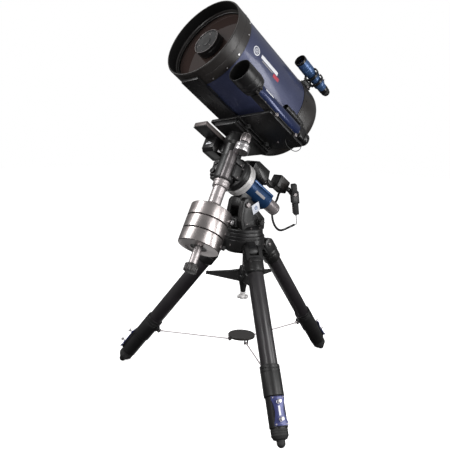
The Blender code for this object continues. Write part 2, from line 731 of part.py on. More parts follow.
def dovetail_bar():
    """Dovetail bar along the tube, on a radius block at each end."""
    bar = box((-0.052, PLATE_TOP + GAP, PLATE_BACK), (0.052, BAR_TOP, 0.385))
    made = add("dovetail_bar", bar, OPTICS, "black_casting")
    for start, end in ((-0.120, -0.060), (0.240, 0.310)):
        block = box((-0.045, BAR_TOP - 0.004, start), (0.045, BAR_TOP + 0.012, end))
        join(made, add("radius_block", block, OPTICS))
    seat = rod(CELL_RADIUS + GAP, (0, 0, -0.5), (0, 0, 0.5), 64)
    cut(made, add("tube_seat", seat, OPTICS))
    return made


def tube():
    profile = [
        (TUBE_RADIUS, FRONT_CELL_BACK - GAP), (TUBE_RADIUS, REAR_CELL_FRONT + GAP),
        (TUBE_RADIUS - TUBE_WALL, REAR_CELL_FRONT + GAP), (TUBE_RADIUS - TUBE_WALL, FRONT_CELL_BACK - GAP),
    ]
    return add("optical_tube", turned(profile, 48, closed=True), OPTICS, "tube_blue")


def front_cell():
    """Deep black cell with the ledge that the corrector plate sits on."""
    profile = [
        (0.2000, MOUTH), (0.2050, MOUTH), (CELL_RADIUS, MOUTH - 0.004), (CELL_RADIUS, FRONT_CELL_BACK),
        (0.1800, FRONT_CELL_BACK), (0.1800, CORRECTOR_FACE - 0.0095), (0.1925, CORRECTOR_FACE - 0.0095),
        (0.1925, CORRECTOR_FACE + 0.004),
    ]
    return add("front_cell", turned(profile, 48, closed=True), OPTICS, "dark_grey")


def corrector_plate():
    profile = [(0.1920, CORRECTOR_FACE), (0.1920, CORRECTOR_FACE - 0.009), (0.0440, CORRECTOR_FACE - 0.009),
               (0.0440, CORRECTOR_FACE)]
    return add("corrector_plate", turned(profile, 40, closed=True), OPTICS, "glass")


def secondary_holder():
    """Secondary mirror cell through the corrector's central hole."""
    face = 0.383
    back = CORRECTOR_FACE + GAP
    profile = [(0, face), (0.0665, face), (0.0665, back), (0.0435, back), (0.0435, 0.305), (0, 0.305)]
    return add("secondary_holder", turned(profile, 32), OPTICS, "dark_grey")


def primary_mirror():
    """Main mirror with its dished face, free to slide on the baffle tube."""
    bore = BAFFLE_RADIUS + 0.0012
    profile = [
        (APERTURE_RADIUS + 0.004, MIRROR_FACE + 0.006), (APERTURE_RADIUS + 0.004, MIRROR_FACE - 0.036),
        (bore, MIRROR_FACE - 0.036), (bore, MIRROR_FACE), (0.110, MIRROR_FACE + 0.002),
    ]
    return add("primary_mirror", turned(profile, 40, closed=True), OPTICS, "mirror")


def baffle_tube():
    back = REAR_CELL_BACK + 0.012 + GAP
    profile = [(BAFFLE_RADIUS, 0.060), (BAFFLE_RADIUS, back), (0.030, back), (0.030, 0.060)]
    return add("baffle_tube", turned(profile, 24, closed=True), OPTICS, "deep_black")


def rear_cell():
    """Deep rear casting with a rounded shoulder and a bored back."""
    front, back = REAR_CELL_FRONT, REAR_CELL_BACK
    shoulder = 0.075
    profile = [(CELL_RADIUS, front)]
    for i in range(6):
        angle = math.radians(18 * i)
        profile.append((CELL_RADIUS - shoulder + shoulder * math.cos(angle),
                        back + shoulder - shoulder * math.sin(angle)))
    profile += [(0.030, back), (0.030, back + 0.012)]
    inner = shoulder - 0.012
    for i in range(4, -1, -1):
        angle = math.radians(22.5 * i)
        profile.append((CELL_RADIUS - shoulder + inner * math.cos(angle),
                        back + shoulder - inner * math.sin(angle)))
    profile.append((CELL_RADIUS - 0.012, front))
    return add("rear_cell", turned(profile, 44, closed=True), OPTICS, "dark_grey")


def visual_back():
    """Threaded adapter and eyepiece tube at the back of the telescope."""
    top = REAR_CELL_BACK - GAP
    profile = [(0.046, top), (0.046, top - 0.018), (0.030, top - 0.022), (0.030, top - 0.060),
               (0.0255, top - 0.060), (0.0255, top)]
    return add("visual_back", turned(profile, 24, closed=True), OPTICS, "black_casting")


def focus_knob():
    knob = plate(lobed(0.0165, 0.002, 12), 0.028)
    return add("focus_knob", knob, OPTICS, "black_casting", (0.080, -0.040, REAR_CELL_BACK - GAP - 0.014))


def finder_tube():
    """Finder with its dew shield, body rings and eyepiece, parallel to the tube."""
    profile = [
        (0, -0.030), (0.0270, -0.030), (0.0270, 0.0), (0.0300, 0.0), (0.0300, -0.085), (0.0250, -0.092),
        (0.0250, -0.178), (0.0290, -0.180), (0.0290, -0.196), (0.0235, -0.200), (0.0235, -0.242),
        (0.0190, -0.246), (0.0190, -0.272), (0, -0.272),
    ]
    return add("finder_tube", turned(profile, 24), FINDER, "bright_blue")


def finder_bracket():
    """Foot on the rear cell, with a ring at each end of its bar around the finder."""
    inside = CELL_RADIUS + 0.0006 - FINDER_DISTANCE
    foot = box((inside, -0.014, -0.165), (-0.036, 0.014, -0.105), 0.002)
    made = add("finder_bracket", foot, FINDER, "black_casting")
    for place in (-0.114, -0.160):
        low, high = place - 0.007, place + 0.007
        profile = [(0.037, high), (0.037, low), (0.0255, low), (0.0255, high)]
        join(made, add("finder_ring", turned(profile, 24, closed=True), FINDER))
        for angle in (60.0, -60.0):
            turn = math.radians(angle)
            way = Vector((math.cos(turn), math.sin(turn), 0))
            along = Vector((0, 0, place))
            join(made, add("finder_screw", rod(0.004, way * 0.034 + along, way * 0.056 + along, 8), FINDER))
    return made


def guide_dew_shield():
    back = -GUIDE_SHIELD_LENGTH
    profile = [(0, -0.070), (0.0505, -0.070), (0.0505, 0.0), (0.0540, 0.0), (0.0540, back + 0.012),
               (0.0340, back), (0, back)]
    return add("guide_dew_shield", turned(profile, 36), GUIDE, "black_casting")


def guide_body():
    """Round-sided guide camera housing on its rail along the plate's edge."""
    top = -GUIDE_SHIELD_LENGTH - GAP
    shape = plate(stadium(0.004, 0.028), GUIDE_BODY_LENGTH)
    middle = top - GUIDE_BODY_LENGTH / 2
    body = add("guide_body", shape, GUIDE, "bright_blue", (0, 0, middle), (0, 0, 90))
    low = PLATE_TOP + GAP - GUIDE_Y
    rail = box((-0.022, low, top - 0.330), (0.022, -0.028, top - 0.004), 0.0005)
    join(body, add("guide_rail", rail, GUIDE))
    return body


def guide_rear_cap():
    """Rounded black end of the guide housing, with the small wide-field lens beside it."""
    top = -GUIDE_SHIELD_LENGTH - GUIDE_BODY_LENGTH - 2 * GAP
    made = add("guide_rear_cap", box((-0.029, -0.033, top - 0.045), (0.029, 0.033, top), 0.014), GUIDE,
               "black_casting")
    arm = box((-0.060, 0.012, top - 0.030), (-0.020, 0.030, top - 0.012), 0.002)
    join(made, add("lens_arm", arm, GUIDE))
    lens = rod(0.016, (-0.050, 0.030, top - 0.040), (-0.050, 0.030, top + 0.050), 20)
    join(made, add("wide_lens", lens, GUIDE))
    return made


def guide_cable():
    """Short cable looping from the plate's edge to the end of the guide housing."""
    add("guide_cable", cable(GUIDE_CABLE_ROUTE, CORD_RADIUS), OPTICS, "rubber")


def centre_over_origin():
    """Moves the stand so that the model's box is centred on the origin and starts at z = 0."""
    bpy.context.view_layer.update()
    graph = bpy.context.evaluated_depsgraph_get()
    low = Vector((1e9, 1e9, 1e9))
    high = -low
    for part in PARTS.objects:
        mesh = part.evaluated_get(graph).data
        for vertex in mesh.vertices:
            place = part.matrix_world @ vertex.co
            low = Vector(map(min, low, place))
            high = Vector(map(max, high, place))
    STAND.location -= Vector(((low.x + high.x) / 2, (low.y + high.y) / 2, low.z))


tripod_head()
spreader_hub()
tension_knob()
brace_tray()
for index, bearing in enumerate(LEG_AZIMUTHS):
    tripod_leg(index + 1, bearing)
mount_base()
latitude_bolt()
azimuth_knob()
ra_housing()
ra_rear_cap()
ra_setting_ring()
ra_motor_cover()
join(panel_box(), handset_bracket())
handset()
bpy.context.view_layer.update()
handset_cord()
head_casting()
polar_shaft()
dec_motor_cover()
dec_clutch_knob()
dec_sleeve()
counterweight_shaft()
for index in range(3):
    counterweight(index + 1, FIRST_WEIGHT - index * WEIGHT_PITCH)
toe_saver()
saddle_plate()
dovetail_bar()
tube()
front_cell()
corrector_plate()
secondary_holder()
primary_mirror()
baffle_tube()
rear_cell()
visual_back()
focus_knob()
finder_tube()
finder_bracket()
guide_dew_shield()
guide_body()
guide_rear_cap()
guide_cable()
centre_over_origin()
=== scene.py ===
"""The looks of a large Schmidt-Cassegrain telescope on its mount and tripod.

Every piece is built in a frame of its own sub-assembly, in metres, and stands for one or
more CAD nodes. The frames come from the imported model's joints.
"""

import json
import math

import bmesh
import bpy
from mathutils import Matrix, Vector

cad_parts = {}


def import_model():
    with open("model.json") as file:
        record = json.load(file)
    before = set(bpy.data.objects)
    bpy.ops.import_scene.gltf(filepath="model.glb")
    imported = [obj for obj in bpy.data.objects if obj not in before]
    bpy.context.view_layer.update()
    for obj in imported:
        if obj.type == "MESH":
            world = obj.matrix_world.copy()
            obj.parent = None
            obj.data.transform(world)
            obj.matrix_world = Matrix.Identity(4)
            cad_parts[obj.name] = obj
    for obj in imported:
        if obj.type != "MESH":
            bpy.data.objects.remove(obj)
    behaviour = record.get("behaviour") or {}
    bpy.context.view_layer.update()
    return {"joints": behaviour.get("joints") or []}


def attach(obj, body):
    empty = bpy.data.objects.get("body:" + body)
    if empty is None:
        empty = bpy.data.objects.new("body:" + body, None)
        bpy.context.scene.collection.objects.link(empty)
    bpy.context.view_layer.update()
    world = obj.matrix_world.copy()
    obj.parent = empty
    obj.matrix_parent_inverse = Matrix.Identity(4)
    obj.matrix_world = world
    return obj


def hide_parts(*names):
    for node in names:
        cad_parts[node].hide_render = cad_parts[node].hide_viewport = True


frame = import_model()
JOINTS = {joint["name"]: joint for joint in frame["joints"]}

# ---- sizes that the looks share with the CAD --------------------------------------------

GAP = 0.0003
HEAD_TOP = 0.757
HINGE_RADIUS = 0.14
HINGE_HEIGHT = 0.696
LEG_LEAN = math.atan2(0.54, HINGE_HEIGHT)  # the legs' angle from upright
SPREADER_HEIGHT = 0.545
TENSION_KNOB_HEIGHT = 0.4385
TRAY_HEIGHT = 0.229
TRAY_PIN = (0.056, 0.212)  # the braces' lower pins: distance from the axis, height
BRACE_PIN = (-0.058, -0.578)  # the braces' upper pins, in a leg's frame
BRACE_SIDE = 0.01  # how far the braces run beside each leg's middle
LEG_AZIMUTHS = (-30.0, 90.0, 210.0)
TUBE_OFFSET = 0.4346
TUBE_RADIUS = 0.2045
CELL_RADIUS = 0.2075
MOUTH = 0.41
FRONT_CELL_BACK = 0.32
CORRECTOR_FACE = 0.343
REAR_CELL_FRONT = -0.136
REAR_CELL_BACK = -0.305
MIRROR_FACE = -0.205
PLATE_TOP = -0.2248
PLATE_FRONT = 0.112
PLATE_BACK = -0.165
BAR_TOP = -0.208
FINDER_PLACE = (0.27, 50.0, -0.054)  # distance from the tube's axis, angle, front
GUIDE_PLACE = (0.245, -0.188, 0.345)
GUIDE_SHIELD_LENGTH = 0.122
GUIDE_BODY_LENGTH = 0.33
RA_RING_RADIUS = 0.083
RA_RING_FRONT = -0.081
RA_RING_BACK = -0.117
RA_BODY_RADIUS = 0.051
RA_BODY_END = -0.316
POLAR_SHAFT_END = -0.285
WEIGHT_RADIUS = 0.097
WEIGHT_HEIGHT = 0.0612
WEIGHT_PITCH = 0.064
FIRST_WEIGHT = -0.2565
SHAFT_RADIUS = 0.019
SHAFT_END = -0.493
SLEEVE_END = -0.2
HOUSING_END = -0.074
LATITUDE = 33.0

# ---- frames ----------------------------------------------------------------------------


def at(x=0.0, y=0.0, z=0.0, rx=0.0, ry=0.0, rz=0.0):
    """A place and a turn in degrees, about X, then Y, then Z."""
    turn = (Matrix.Rotation(math.radians(rz), 4, "Z") @ Matrix.Rotation(math.radians(ry), 4, "Y")
            @ Matrix.Rotation(math.radians(rx), 4, "X"))
    return Matrix.Translation((x, y, z)) @ turn


def axes(origin, x, y):
    """A frame from its origin and its first two axes."""
    x, y = Vector(x).normalized(), Vector(y).normalized()
    turn = Matrix((x, y, x.cross(y))).transposed().to_4x4()
    return Matrix.Translation(origin) @ turn


def joint_point(name):
    return Vector(JOINTS[name]["pos_m"])


def joint_axis(name):
    return Vector(JOINTS[name]["axis"]).normalized()


STAND = Matrix.Translation(joint_point("azimuth_adjust") - Vector((0, 0, HEAD_TOP)))
PIVOT = joint_point("latitude_adjust")
POLE = joint_axis("right_ascension")
DEC_AXIS = joint_axis("declination")
CROSSING = joint_point("right_ascension")
POLAR = axes(CROSSING, (1, 0, 0), POLE.cross(Vector((1, 0, 0))))
HOUR = axes(CROSSING, DEC_AXIS.cross(POLE), DEC_AXIS)
OPTICS = HOUR @ at(y=TUBE_OFFSET)
ACROSS = at(ry=90)  # a flat outline drawn as (-z, y), extruded along X
ALONG_Y = at(rx=-90)  # turned about Y
FINDER = OPTICS @ at(rz=FINDER_PLACE[1]) @ at(x=FINDER_PLACE[0], z=FINDER_PLACE[2])
GUIDE = OPTICS @ at(*GUIDE_PLACE)
HANDSET = POLAR @ at(0.088, 0.08, -0.42, rx=LATITUDE - 90.0) @ at(rz=-43.0) @ at(rx=7.0)
HANDSET_HALF = Vector((0.028, 0.014, 0.078))


def leg_frame(number):
    """-Z runs down the leg, +X faces outward."""
    bearing = math.radians(LEG_AZIMUTHS[number - 1])
    side = Vector((-math.sin(bearing), math.cos(bearing), 0))
    up = -joint_axis(f"leg_{number}_length")
    return axes(joint_point(f"leg_{number}_fold"), side.cross(up), side)


# ---- shapes: each returns a mesh in its own frame ------------------------------------------


def rounded(points, radius, closed=False, steps=3):
    """The outline with its corners turned into short arcs."""
    made = []
    count = len(points)
    for i, point in enumerate(points):
        here = Vector(point)
        if not closed and i in (0, count - 1):
            made.append(here)
            continue
        back = Vector(points[i - 1]) - here
        ahead = Vector(points[(i + 1) % count]) - here
        corner = back.angle(ahead)
        if corner > math.radians(160):
            made.append(here)
            continue
        reach = min(radius / math.tan(corner / 2), 0.45 * back.length, 0.45 * ahead.length)
        start, end = here + back.normalized() * reach, here + ahead.normalized() * reach
        for k in range(steps + 1):
            t = k / steps
            made.append((1 - t) ** 2 * start + 2 * t * (1 - t) * here + t * t * end)
    return made


def finished(shape, name="shape"):
    mesh = bpy.data.meshes.new(name)
    bmesh.ops.recalc_face_normals(shape, faces=shape.faces)
    shape.to_mesh(mesh)
    shape.free()
    return mesh


def turned(profile, steps=64, radius=0.0012, closed=False, place=None):
    """(radius, height) points turned about Z, with small arcs at the corners."""
    shape = bmesh.new()
    points = rounded(profile, radius, closed)
    verts = [shape.verts.new((p[0], 0, p[1])) for p in points]
    edges = [shape.edges.new(pair) for pair in zip(verts, verts[1:])]
    if closed:
        edges.append(shape.edges.new((verts[-1], verts[0])))
    bmesh.ops.spin(
        shape, geom=verts + edges, cent=(0, 0, 0), axis=(0, 0, 1), angle=math.tau, steps=steps,
        use_merge=True,
    )
    bmesh.ops.remove_doubles(shape, verts=shape.verts, dist=0.000005)
    bmesh.ops.dissolve_degenerate(shape, dist=0.000002, edges=shape.edges)
    if place is not None:
        bmesh.ops.transform(shape, matrix=place, verts=shape.verts)
    return finished(shape)


def box(low, high, bevel=0.0015, place=None, segments=3):
    low, high = Vector(low), Vector(high)
    shape = bmesh.new()
    size = Matrix.Diagonal((*(high - low), 1.0))
    bmesh.ops.create_cube(shape, size=1.0, matrix=Matrix.Translation((low + high) / 2) @ size)
    if bevel:
        bmesh.ops.bevel(
            shape, geom=shape.edges[:], offset=bevel, segments=segments, profile=0.5, affect="EDGES"
        )
    if place is not None:
        bmesh.ops.transform(shape, matrix=place, verts=shape.verts)
    return finished(shape)


def prism(outline, thickness, place=None, bevel=0.0012, corner=0.0):
    """A flat outline extruded to both sides of Z = 0, its rims bevelled."""
    shape = bmesh.new()
    points = rounded(outline, corner, closed=True) if corner else [Vector(p) for p in outline]
    face = shape.faces.new([shape.verts.new((p[0], p[1], -thickness / 2)) for p in points])
    grown = bmesh.ops.extrude_face_region(shape, geom=[face])["geom"]
    raised = [item for item in grown if isinstance(item, bmesh.types.BMVert)]
    bmesh.ops.translate(shape, vec=(0, 0, thickness), verts=raised)
    if bevel:
        rims = [edge for edge in shape.edges if abs(edge.verts[0].co.z - edge.verts[1].co.z) < 1e-7]
        bmesh.ops.bevel(shape, geom=rims, offset=bevel, segments=2, profile=0.5, affect="EDGES")
    if place is not None:
        bmesh.ops.transform(shape, matrix=place, verts=shape.verts)
    return finished(shape)


def between(start, end):
    """The place of a Z-axis shape that runs from start to end."""
    start, end = Vector(start), Vector(end)
    return Matrix.Translation(start) @ (end - start).to_track_quat("Z", "Y").to_matrix().to_4x4()


def rod(radius, start, end, sides=32, edge=0.0008):
    length = (Vector(end) - Vector(start)).length
    profile = [(0, length), (radius, length), (radius, 0), (0, 0)]
    return turned(profile, sides, edge, place=between(start, end))


def tube_wall(outer, inner, low, high, steps=64, edge=0.001, place=None):
    profile = [(outer, high), (outer, low), (inner, low), (inner, high)]
    return turned(profile, steps, edge, closed=True, place=place)


def screw(point, way, radius=0.0035, height=0.003):
    """A socket-head screw standing on a surface."""
    hole = radius * 0.5
    profile = [
        (0, height * 0.45), (hole, height * 0.45), (hole, height), (radius, height), (radius, 0), (0, 0)
    ]
    point = Vector(point)
    return turned(profile, 16, radius * 0.12, place=between(point, point + Vector(way)))


def knob(radius, height, lobes, depth, place=None, bevel=0.001):
    """A knob with round lobes about Z, standing from Z = 0."""
    count = lobes * 8
    outline = []
    for i in range(count):
        angle = math.tau * i / count
        reach = radius - depth / 2 + depth / 2 * math.cos(lobes * angle)
        outline.append((reach * math.cos(angle), reach * math.sin(angle)))
    lifted = at(z=height / 2)
    return prism(outline, height, place @ lifted if place is not None else lifted, bevel)


def carved(mesh, *cutters, operation="DIFFERENCE"):
    """The mesh after an exact boolean with each cutter."""
    body = bpy.data.objects.new("carved", mesh)
    bpy.context.scene.collection.objects.link(body)
    helpers = []
    for cutter in cutters:
        helper = bpy.data.objects.new("cutter", cutter)
        bpy.context.scene.collection.objects.link(helper)
        helpers.append(helper)
        modifier = body.modifiers.new("cut", "BOOLEAN")
        modifier.operation = operation
        modifier.object = helper
        modifier.solver = "EXACT"
    bpy.context.view_layer.update()
    graph = bpy.context.evaluated_depsgraph_get()
    made = bpy.data.meshes.new_from_object(body.evaluated_get(graph))
    for helper in (body, *helpers):
        bpy.data.objects.remove(helper, do_unlink=True)
    return made


def fused(mesh, *others):
    return carved(mesh, *others, operation="UNION")


def smooth_line(route, pieces=6):
    """Points on a Catmull-Rom curve through the route."""
    route = [Vector(point) for point in route]
    ends = [2 * route[0] - route[1], *route, 2 * route[-1] - route[-2]]
    points = []
    for a, b, c, d in zip(ends, ends[1:], ends[2:], ends[3:]):
        for step in range(pieces):
            t = step / pieces
            points.append(
                0.5 * (2 * b + (c - a) * t + (2 * a - 5 * b + 4 * c - d) * t * t
                       + (3 * b - 3 * c + d - a) * t ** 3)
            )
    points.append(route[-1])
    return points


def ring_cells(u, v, inner, outer, count=40):
    """Quads of a flat ring, in a surface's own (u, v)."""
    cells = []
    for i in range(count):
        a, b = math.tau * i / count, math.tau * (i + 1) / count
        cells.append([(u + r * math.cos(t), v + r * math.sin(t))
                      for r, t in ((inner, a), (outer, a), (outer, b), (inner, b))])
    return cells


def bar_cells(low_u, high_u, low_v, high_v, count=6):
    cells = []
    for i in range(count):
        a = low_u + (high_u - low_u) * i / count
        b = low_u + (high_u - low_u) * (i + 1) / count
        cells.append([(a, low_v), (b, low_v), (b, high_v), (a, high_v)])
    return cells


def printed(cells, radius, thick=0.00025):
    """Marks wrapped on a cylinder about Z: u runs round it from +X, v along it."""
    shape = bmesh.new()
    for cell in cells:
        corners = []
        for u, v in cell:
            angle = u / radius
            reach = radius + thick
            corners.append(shape.verts.new((reach * math.cos(angle), reach * math.sin(angle), v)))
        shape.faces.new(corners)
    bmesh.ops.remove_doubles(shape, verts=shape.verts, dist=0.00001)
    return finished(shape)


# ---- materials ---------------------------------------------------------------------------


class Look:
    """A node material being wired up around one Principled shader."""

    def __init__(self, name, roughness, metallic):
        self.material = bpy.data.materials.new(name)
        self.material.use_nodes = True
        self.tree = self.material.node_tree
        self.shader = self.tree.nodes["Principled BSDF"]
        self.set("Roughness", roughness)
        self.set("Metallic", metallic)

    def set(self, socket, value):
        self.shader.inputs[socket].default_value = value

    def node(self, kind, **settings):
        made = self.tree.nodes.new("ShaderNode" + kind)
        for key, value in settings.items():
            setattr(made, key, value)
        return made

    def link(self, source, target):
        self.tree.links.new(source, target)

    def noise(self, vector, scale, detail=3.0, roughness=0.55):
        made = self.node("TexNoise")
        made.inputs["Scale"].default_value = scale
        made.inputs["Detail"].default_value = detail
        made.inputs["Roughness"].default_value = roughness
        self.link(vector, made.inputs["Vector"])
        return made.outputs["Fac"]

    def spread(self, value, low, high):
        """value from 0.3..0.7 to low..high"""
        made = self.node("MapRange")
        for socket, number in zip(("From Min", "From Max", "To Min", "To Max"), (0.3, 0.7, low, high)):
            made.inputs[socket].default_value = number
        self.link(value, made.inputs["Value"])
        return made.outputs["Result"]

    def blend(self, factor, dark, light):
        made = self.node("Mix", data_type="RGBA")
        self.link(factor, made.inputs["Factor"])
        made.inputs["A"].default_value = (*dark, 1.0)
        made.inputs["B"].default_value = (*light, 1.0)
        return made.outputs["Result"]

    def bump(self, height, strength, distance):
        made = self.node("Bump")
        made.inputs["Strength"].default_value = strength
        made.inputs["Distance"].default_value = distance
        self.link(height, made.inputs["Height"])
        self.link(made.outputs["Normal"], self.shader.inputs["Normal"])


def shade(colour, factor):
    return tuple(channel * factor for channel in colour)


def painted(name, colour, roughness, metallic=0.0, variation=0.15, grain=900.0, depth=0.00006, coat=0.0,
            specular=0.5, fleck=None):
    """Paint or powder coat: cloudy tone, uneven gloss and a fine orange-peel grain."""
    look = Look(name, roughness, metallic)
    place = look.node("TexCoord").outputs["Object"]
    cloud = look.noise(place, 9.0, 4.0)
    fine = look.noise(place, grain, 2.0)
    tone = look.blend(
        look.spread(cloud, 0.0, 1.0), shade(colour, 1 - variation), shade(colour, 1 + variation)
    )
    if fleck:
        spots = look.noise(place, 2600.0, 1.0, 0.4)
        mixed = look.node("Mix", data_type="RGBA")
        look.link(look.spread(spots, -0.55, 1.0), mixed.inputs["Factor"])
        look.link(tone, mixed.inputs["A"])
        mixed.inputs["B"].default_value = (*fleck, 1.0)
        tone = mixed.outputs["Result"]
    look.link(tone, look.shader.inputs["Base Color"])
    look.link(look.spread(cloud, roughness * 0.86, roughness * 1.14), look.shader.inputs["Roughness"])
    look.bump(fine, 0.5, depth)
    look.set("Specular IOR Level", specular)
    look.set("Coat Weight", coat)
    look.set("Coat Roughness", 0.12)
    return look.material


def machined(name, colour, roughness, streak=0.12, rings=1400.0, depth=0.00002, anisotropic=0.5):
    """Turned metal: fine tool marks that run round the piece's own Z axis."""
    look = Look(name, roughness, 1.0)
    local = look.node("Attribute", attribute_name="local").outputs["Vector"]
    apart = look.node("SeparateXYZ")
    look.link(local, apart.inputs[0])
    flat = look.node("CombineXYZ")
    look.link(apart.outputs["X"], flat.inputs["X"])
    look.link(apart.outputs["Y"], flat.inputs["Y"])
    length = look.node("VectorMath", operation="LENGTH")
    look.link(flat.outputs[0], length.inputs[0])
    marks = look.node("CombineXYZ")
    look.link(length.outputs["Value"], marks.inputs["X"])
    look.link(apart.outputs["Z"], marks.inputs["Y"])
    lines = look.noise(marks.outputs[0], rings, 3.0)
    cloud = look.noise(look.node("TexCoord").outputs["Object"], 14.0, 3.0)
    look.link(look.blend(look.spread(lines, 0.0, 1.0), shade(colour, 1 - streak),
                         shade(colour, 1 + streak / 2)),
              look.shader.inputs["Base Color"])
    look.link(look.spread(cloud, roughness * 0.8, roughness * 1.2), look.shader.inputs["Roughness"])
    look.bump(lines, 0.35, depth)
    look.set("Anisotropic", anisotropic)
    around = look.node("Attribute", attribute_name="around").outputs["Vector"]
    turn = look.node("VectorTransform", vector_type="VECTOR", convert_from="OBJECT", convert_to="WORLD")
    look.link(around, turn.inputs[0])
    look.link(turn.outputs[0], look.shader.inputs["Tangent"])
    return look.material


def clear_glass(name, tint, roughness=0.0, clear=1.0):
    look = Look(name, roughness, 0.0)
    place = look.node("TexCoord").outputs["Object"]
    film = look.noise(place, 5.0, 2.0)
    look.link(look.blend(look.spread(film, 0.0, 1.0), tint, shade(tint, 0.94)),
              look.shader.inputs["Base Color"])
    look.set("Transmission Weight", clear)
    look.set("IOR", 1.45)
    return look.material


BLACK = painted("black_powder_coat", (0.008, 0.0077, 0.008), 0.38, grain=1500.0, depth=0.00008)
BLACK_SMOOTH = painted("black_satin_cover", (0.007, 0.0066, 0.007), 0.28, grain=2200.0, depth=0.00003)
LEG_BLACK = painted("leg_enamel", (0.017, 0.015, 0.017), 0.36, grain=1200.0, depth=0.00005, coat=0.15)
CHARCOAL = painted("charcoal_hammer_paint", (0.021, 0.0185, 0.0175), 0.38, grain=700.0, depth=0.0001)
PLATE_GREY = painted("warm_grey_anodised", (0.13, 0.112, 0.108), 0.36, metallic=0.3, grain=1800.0,
                     depth=0.00003)
# Lighter grey used only for the barrel set into the black declination housing. It is partly a grey part and
# partly a painted highlight of that housing.
SATIN_GREY_HIGHLIGHT = painted("satin_grey_painted_highlight", (0.115, 0.105, 0.107), 0.3, metallic=0.55, grain=1800.0,
                     depth=0.00003)
FLOCK = painted("flocked_black", (0.0035, 0.0033, 0.0033), 0.85, grain=2600.0, depth=0.0002, specular=0.2)
TUBE_BLUE = painted("tube_blue_metallic", (0.034, 0.041, 0.092), 0.4, metallic=0.3, variation=0.06,
                    grain=1600.0, depth=0.00003, coat=0.35, fleck=(0.075, 0.085, 0.16))
DEEP_BLUE = painted("deep_blue_anodised", (0.013, 0.046, 0.125), 0.34, metallic=0.4, grain=1800.0,
                    depth=0.00002)
BRIGHT_BLUE = painted("bright_blue_anodised", (0.05, 0.105, 0.235), 0.32, metallic=0.45, grain=1800.0,
                      depth=0.00002, coat=0.2)
GUIDE_BLUE = painted("guide_blue_enamel", (0.02, 0.03, 0.088), 0.24, metallic=0.4, grain=1800.0,
                     depth=0.00002, coat=0.3)
CLAMP_BLUE = painted("clamp_blue_enamel", (0.03, 0.036, 0.13), 0.28, metallic=0.3, grain=1500.0,
                     depth=0.00003, coat=0.2)
RUBBER = painted("moulded_rubber", (0.01, 0.0098, 0.01), 0.62, grain=800.0, depth=0.0001)
WHITE_INK = painted("white_ink", (0.72, 0.73, 0.76), 0.45, variation=0.03)
RED_INK = painted("red_ink", (0.42, 0.035, 0.06), 0.45, variation=0.05)
GREY_INK = painted("grey_ink", (0.3, 0.29, 0.3), 0.5, variation=0.05)
WHITE_PAINT = painted("white_scale_plate", (0.62, 0.64, 0.7), 0.4, variation=0.04)
STEEL = machined("brushed_stainless", (0.35, 0.32, 0.315), 0.28, depth=0.000002, anisotropic=0.4)
STEEL_FINE = machined("turned_steel", (0.31, 0.285, 0.285), 0.42, streak=0.05, depth=0.000001,
                      anisotropic=0.0)
ROD_STEEL = painted("drawn_rod", (0.62, 0.57, 0.58), 0.4, metallic=0.35, variation=0.04)
CHROME = machined("polished_chrome", (0.74, 0.72, 0.73), 0.3, streak=0.03, depth=0.000001, anisotropic=0.2)
RING_GREY = painted("blasted_aluminium", (0.6, 0.585, 0.58), 0.45, metallic=0.35, variation=0.05,
                    grain=1500.0)
SHAFT_METAL = painted("satin_shaft_steel", (0.38, 0.35, 0.35), 0.38, metallic=0.75, variation=0.04)
CAP_METAL = painted("satin_cap_metal", (0.3, 0.27, 0.275), 0.34, metallic=0.55, variation=0.04)
MIRROR = machined("silvered_mirror", (0.86, 0.86, 0.87), 0.02, streak=0.005, depth=0.0, anisotropic=0.0)
CORRECTOR_GLASS = clear_glass("corrector_glass", (0.04, 0.027, 0.024), clear=0.25)
LENS_GLASS = clear_glass("lens_glass", (0.3, 0.34, 0.46), clear=0.9)

# ---- pieces --------------------------------------------------------------------------------


def piece(name, body, look, place, shapes, stands_for=(), smooth=32.0):
    """One visible piece: its shapes joined, set in place, riding on a CAD body."""
    shape = bmesh.new()
    for mesh in shapes:
        shape.from_mesh(mesh)
        bpy.data.meshes.remove(mesh)
    local = shape.verts.layers.float_vector.new("local")
    around = shape.verts.layers.float_vector.new("around")
    turn = place.to_3x3()
    for vertex in shape.verts:
        vertex[local] = vertex.co
        way = Vector((-vertex.co.y, vertex.co.x, 0))
        vertex[around] = turn @ (way.normalized() if way.length > 1e-6 else Vector((1, 0, 0)))
    bmesh.ops.transform(shape, matrix=place, verts=shape.verts)
    mesh = bpy.data.meshes.new(name)
    shape.to_mesh(mesh)
    shape.free()
    mesh.materials.clear()
    mesh.materials.append(look)
    mesh.shade_smooth()
    mesh.set_sharp_from_angle(angle=math.radians(smooth))
    made = bpy.data.objects.new(name, mesh)
    bpy.context.scene.collection.objects.link(made)
    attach(made, body)
    if stands_for:
        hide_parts(*stands_for)
    return made


def heading(angle):
    """The unit direction at an angle in degrees from +X towards +Y."""
    return Vector((math.cos(math.radians(angle)), math.sin(math.radians(angle)), 0))


def around_axis(count, start=0.0):
    """Unit directions evenly round Z, from an angle in degrees."""
    for i in range(count):
        angle = math.radians(start) + math.tau * i / count
        yield Vector((math.cos(angle), math.sin(angle), 0))


def thumb_screw(spot, way, stem, grip, bevel=0.001):
    """A stem (radius, start, end, sides) and a knob (radius, height, lobes, depth, start) along way."""
    spot, way = Vector(spot), Vector(way)
    radius, start, end, sides = stem
    *shape, reach = grip
    return [rod(radius, spot + way * start, spot + way * end, sides),
            knob(*shape, between(spot + way * reach, spot + way * (reach + 0.01)), bevel)]


UP = Vector((0, 0, 1))
EAST = Vector((1, 0, 0))

# ---- optical tube -----------------------------------------------------------------------


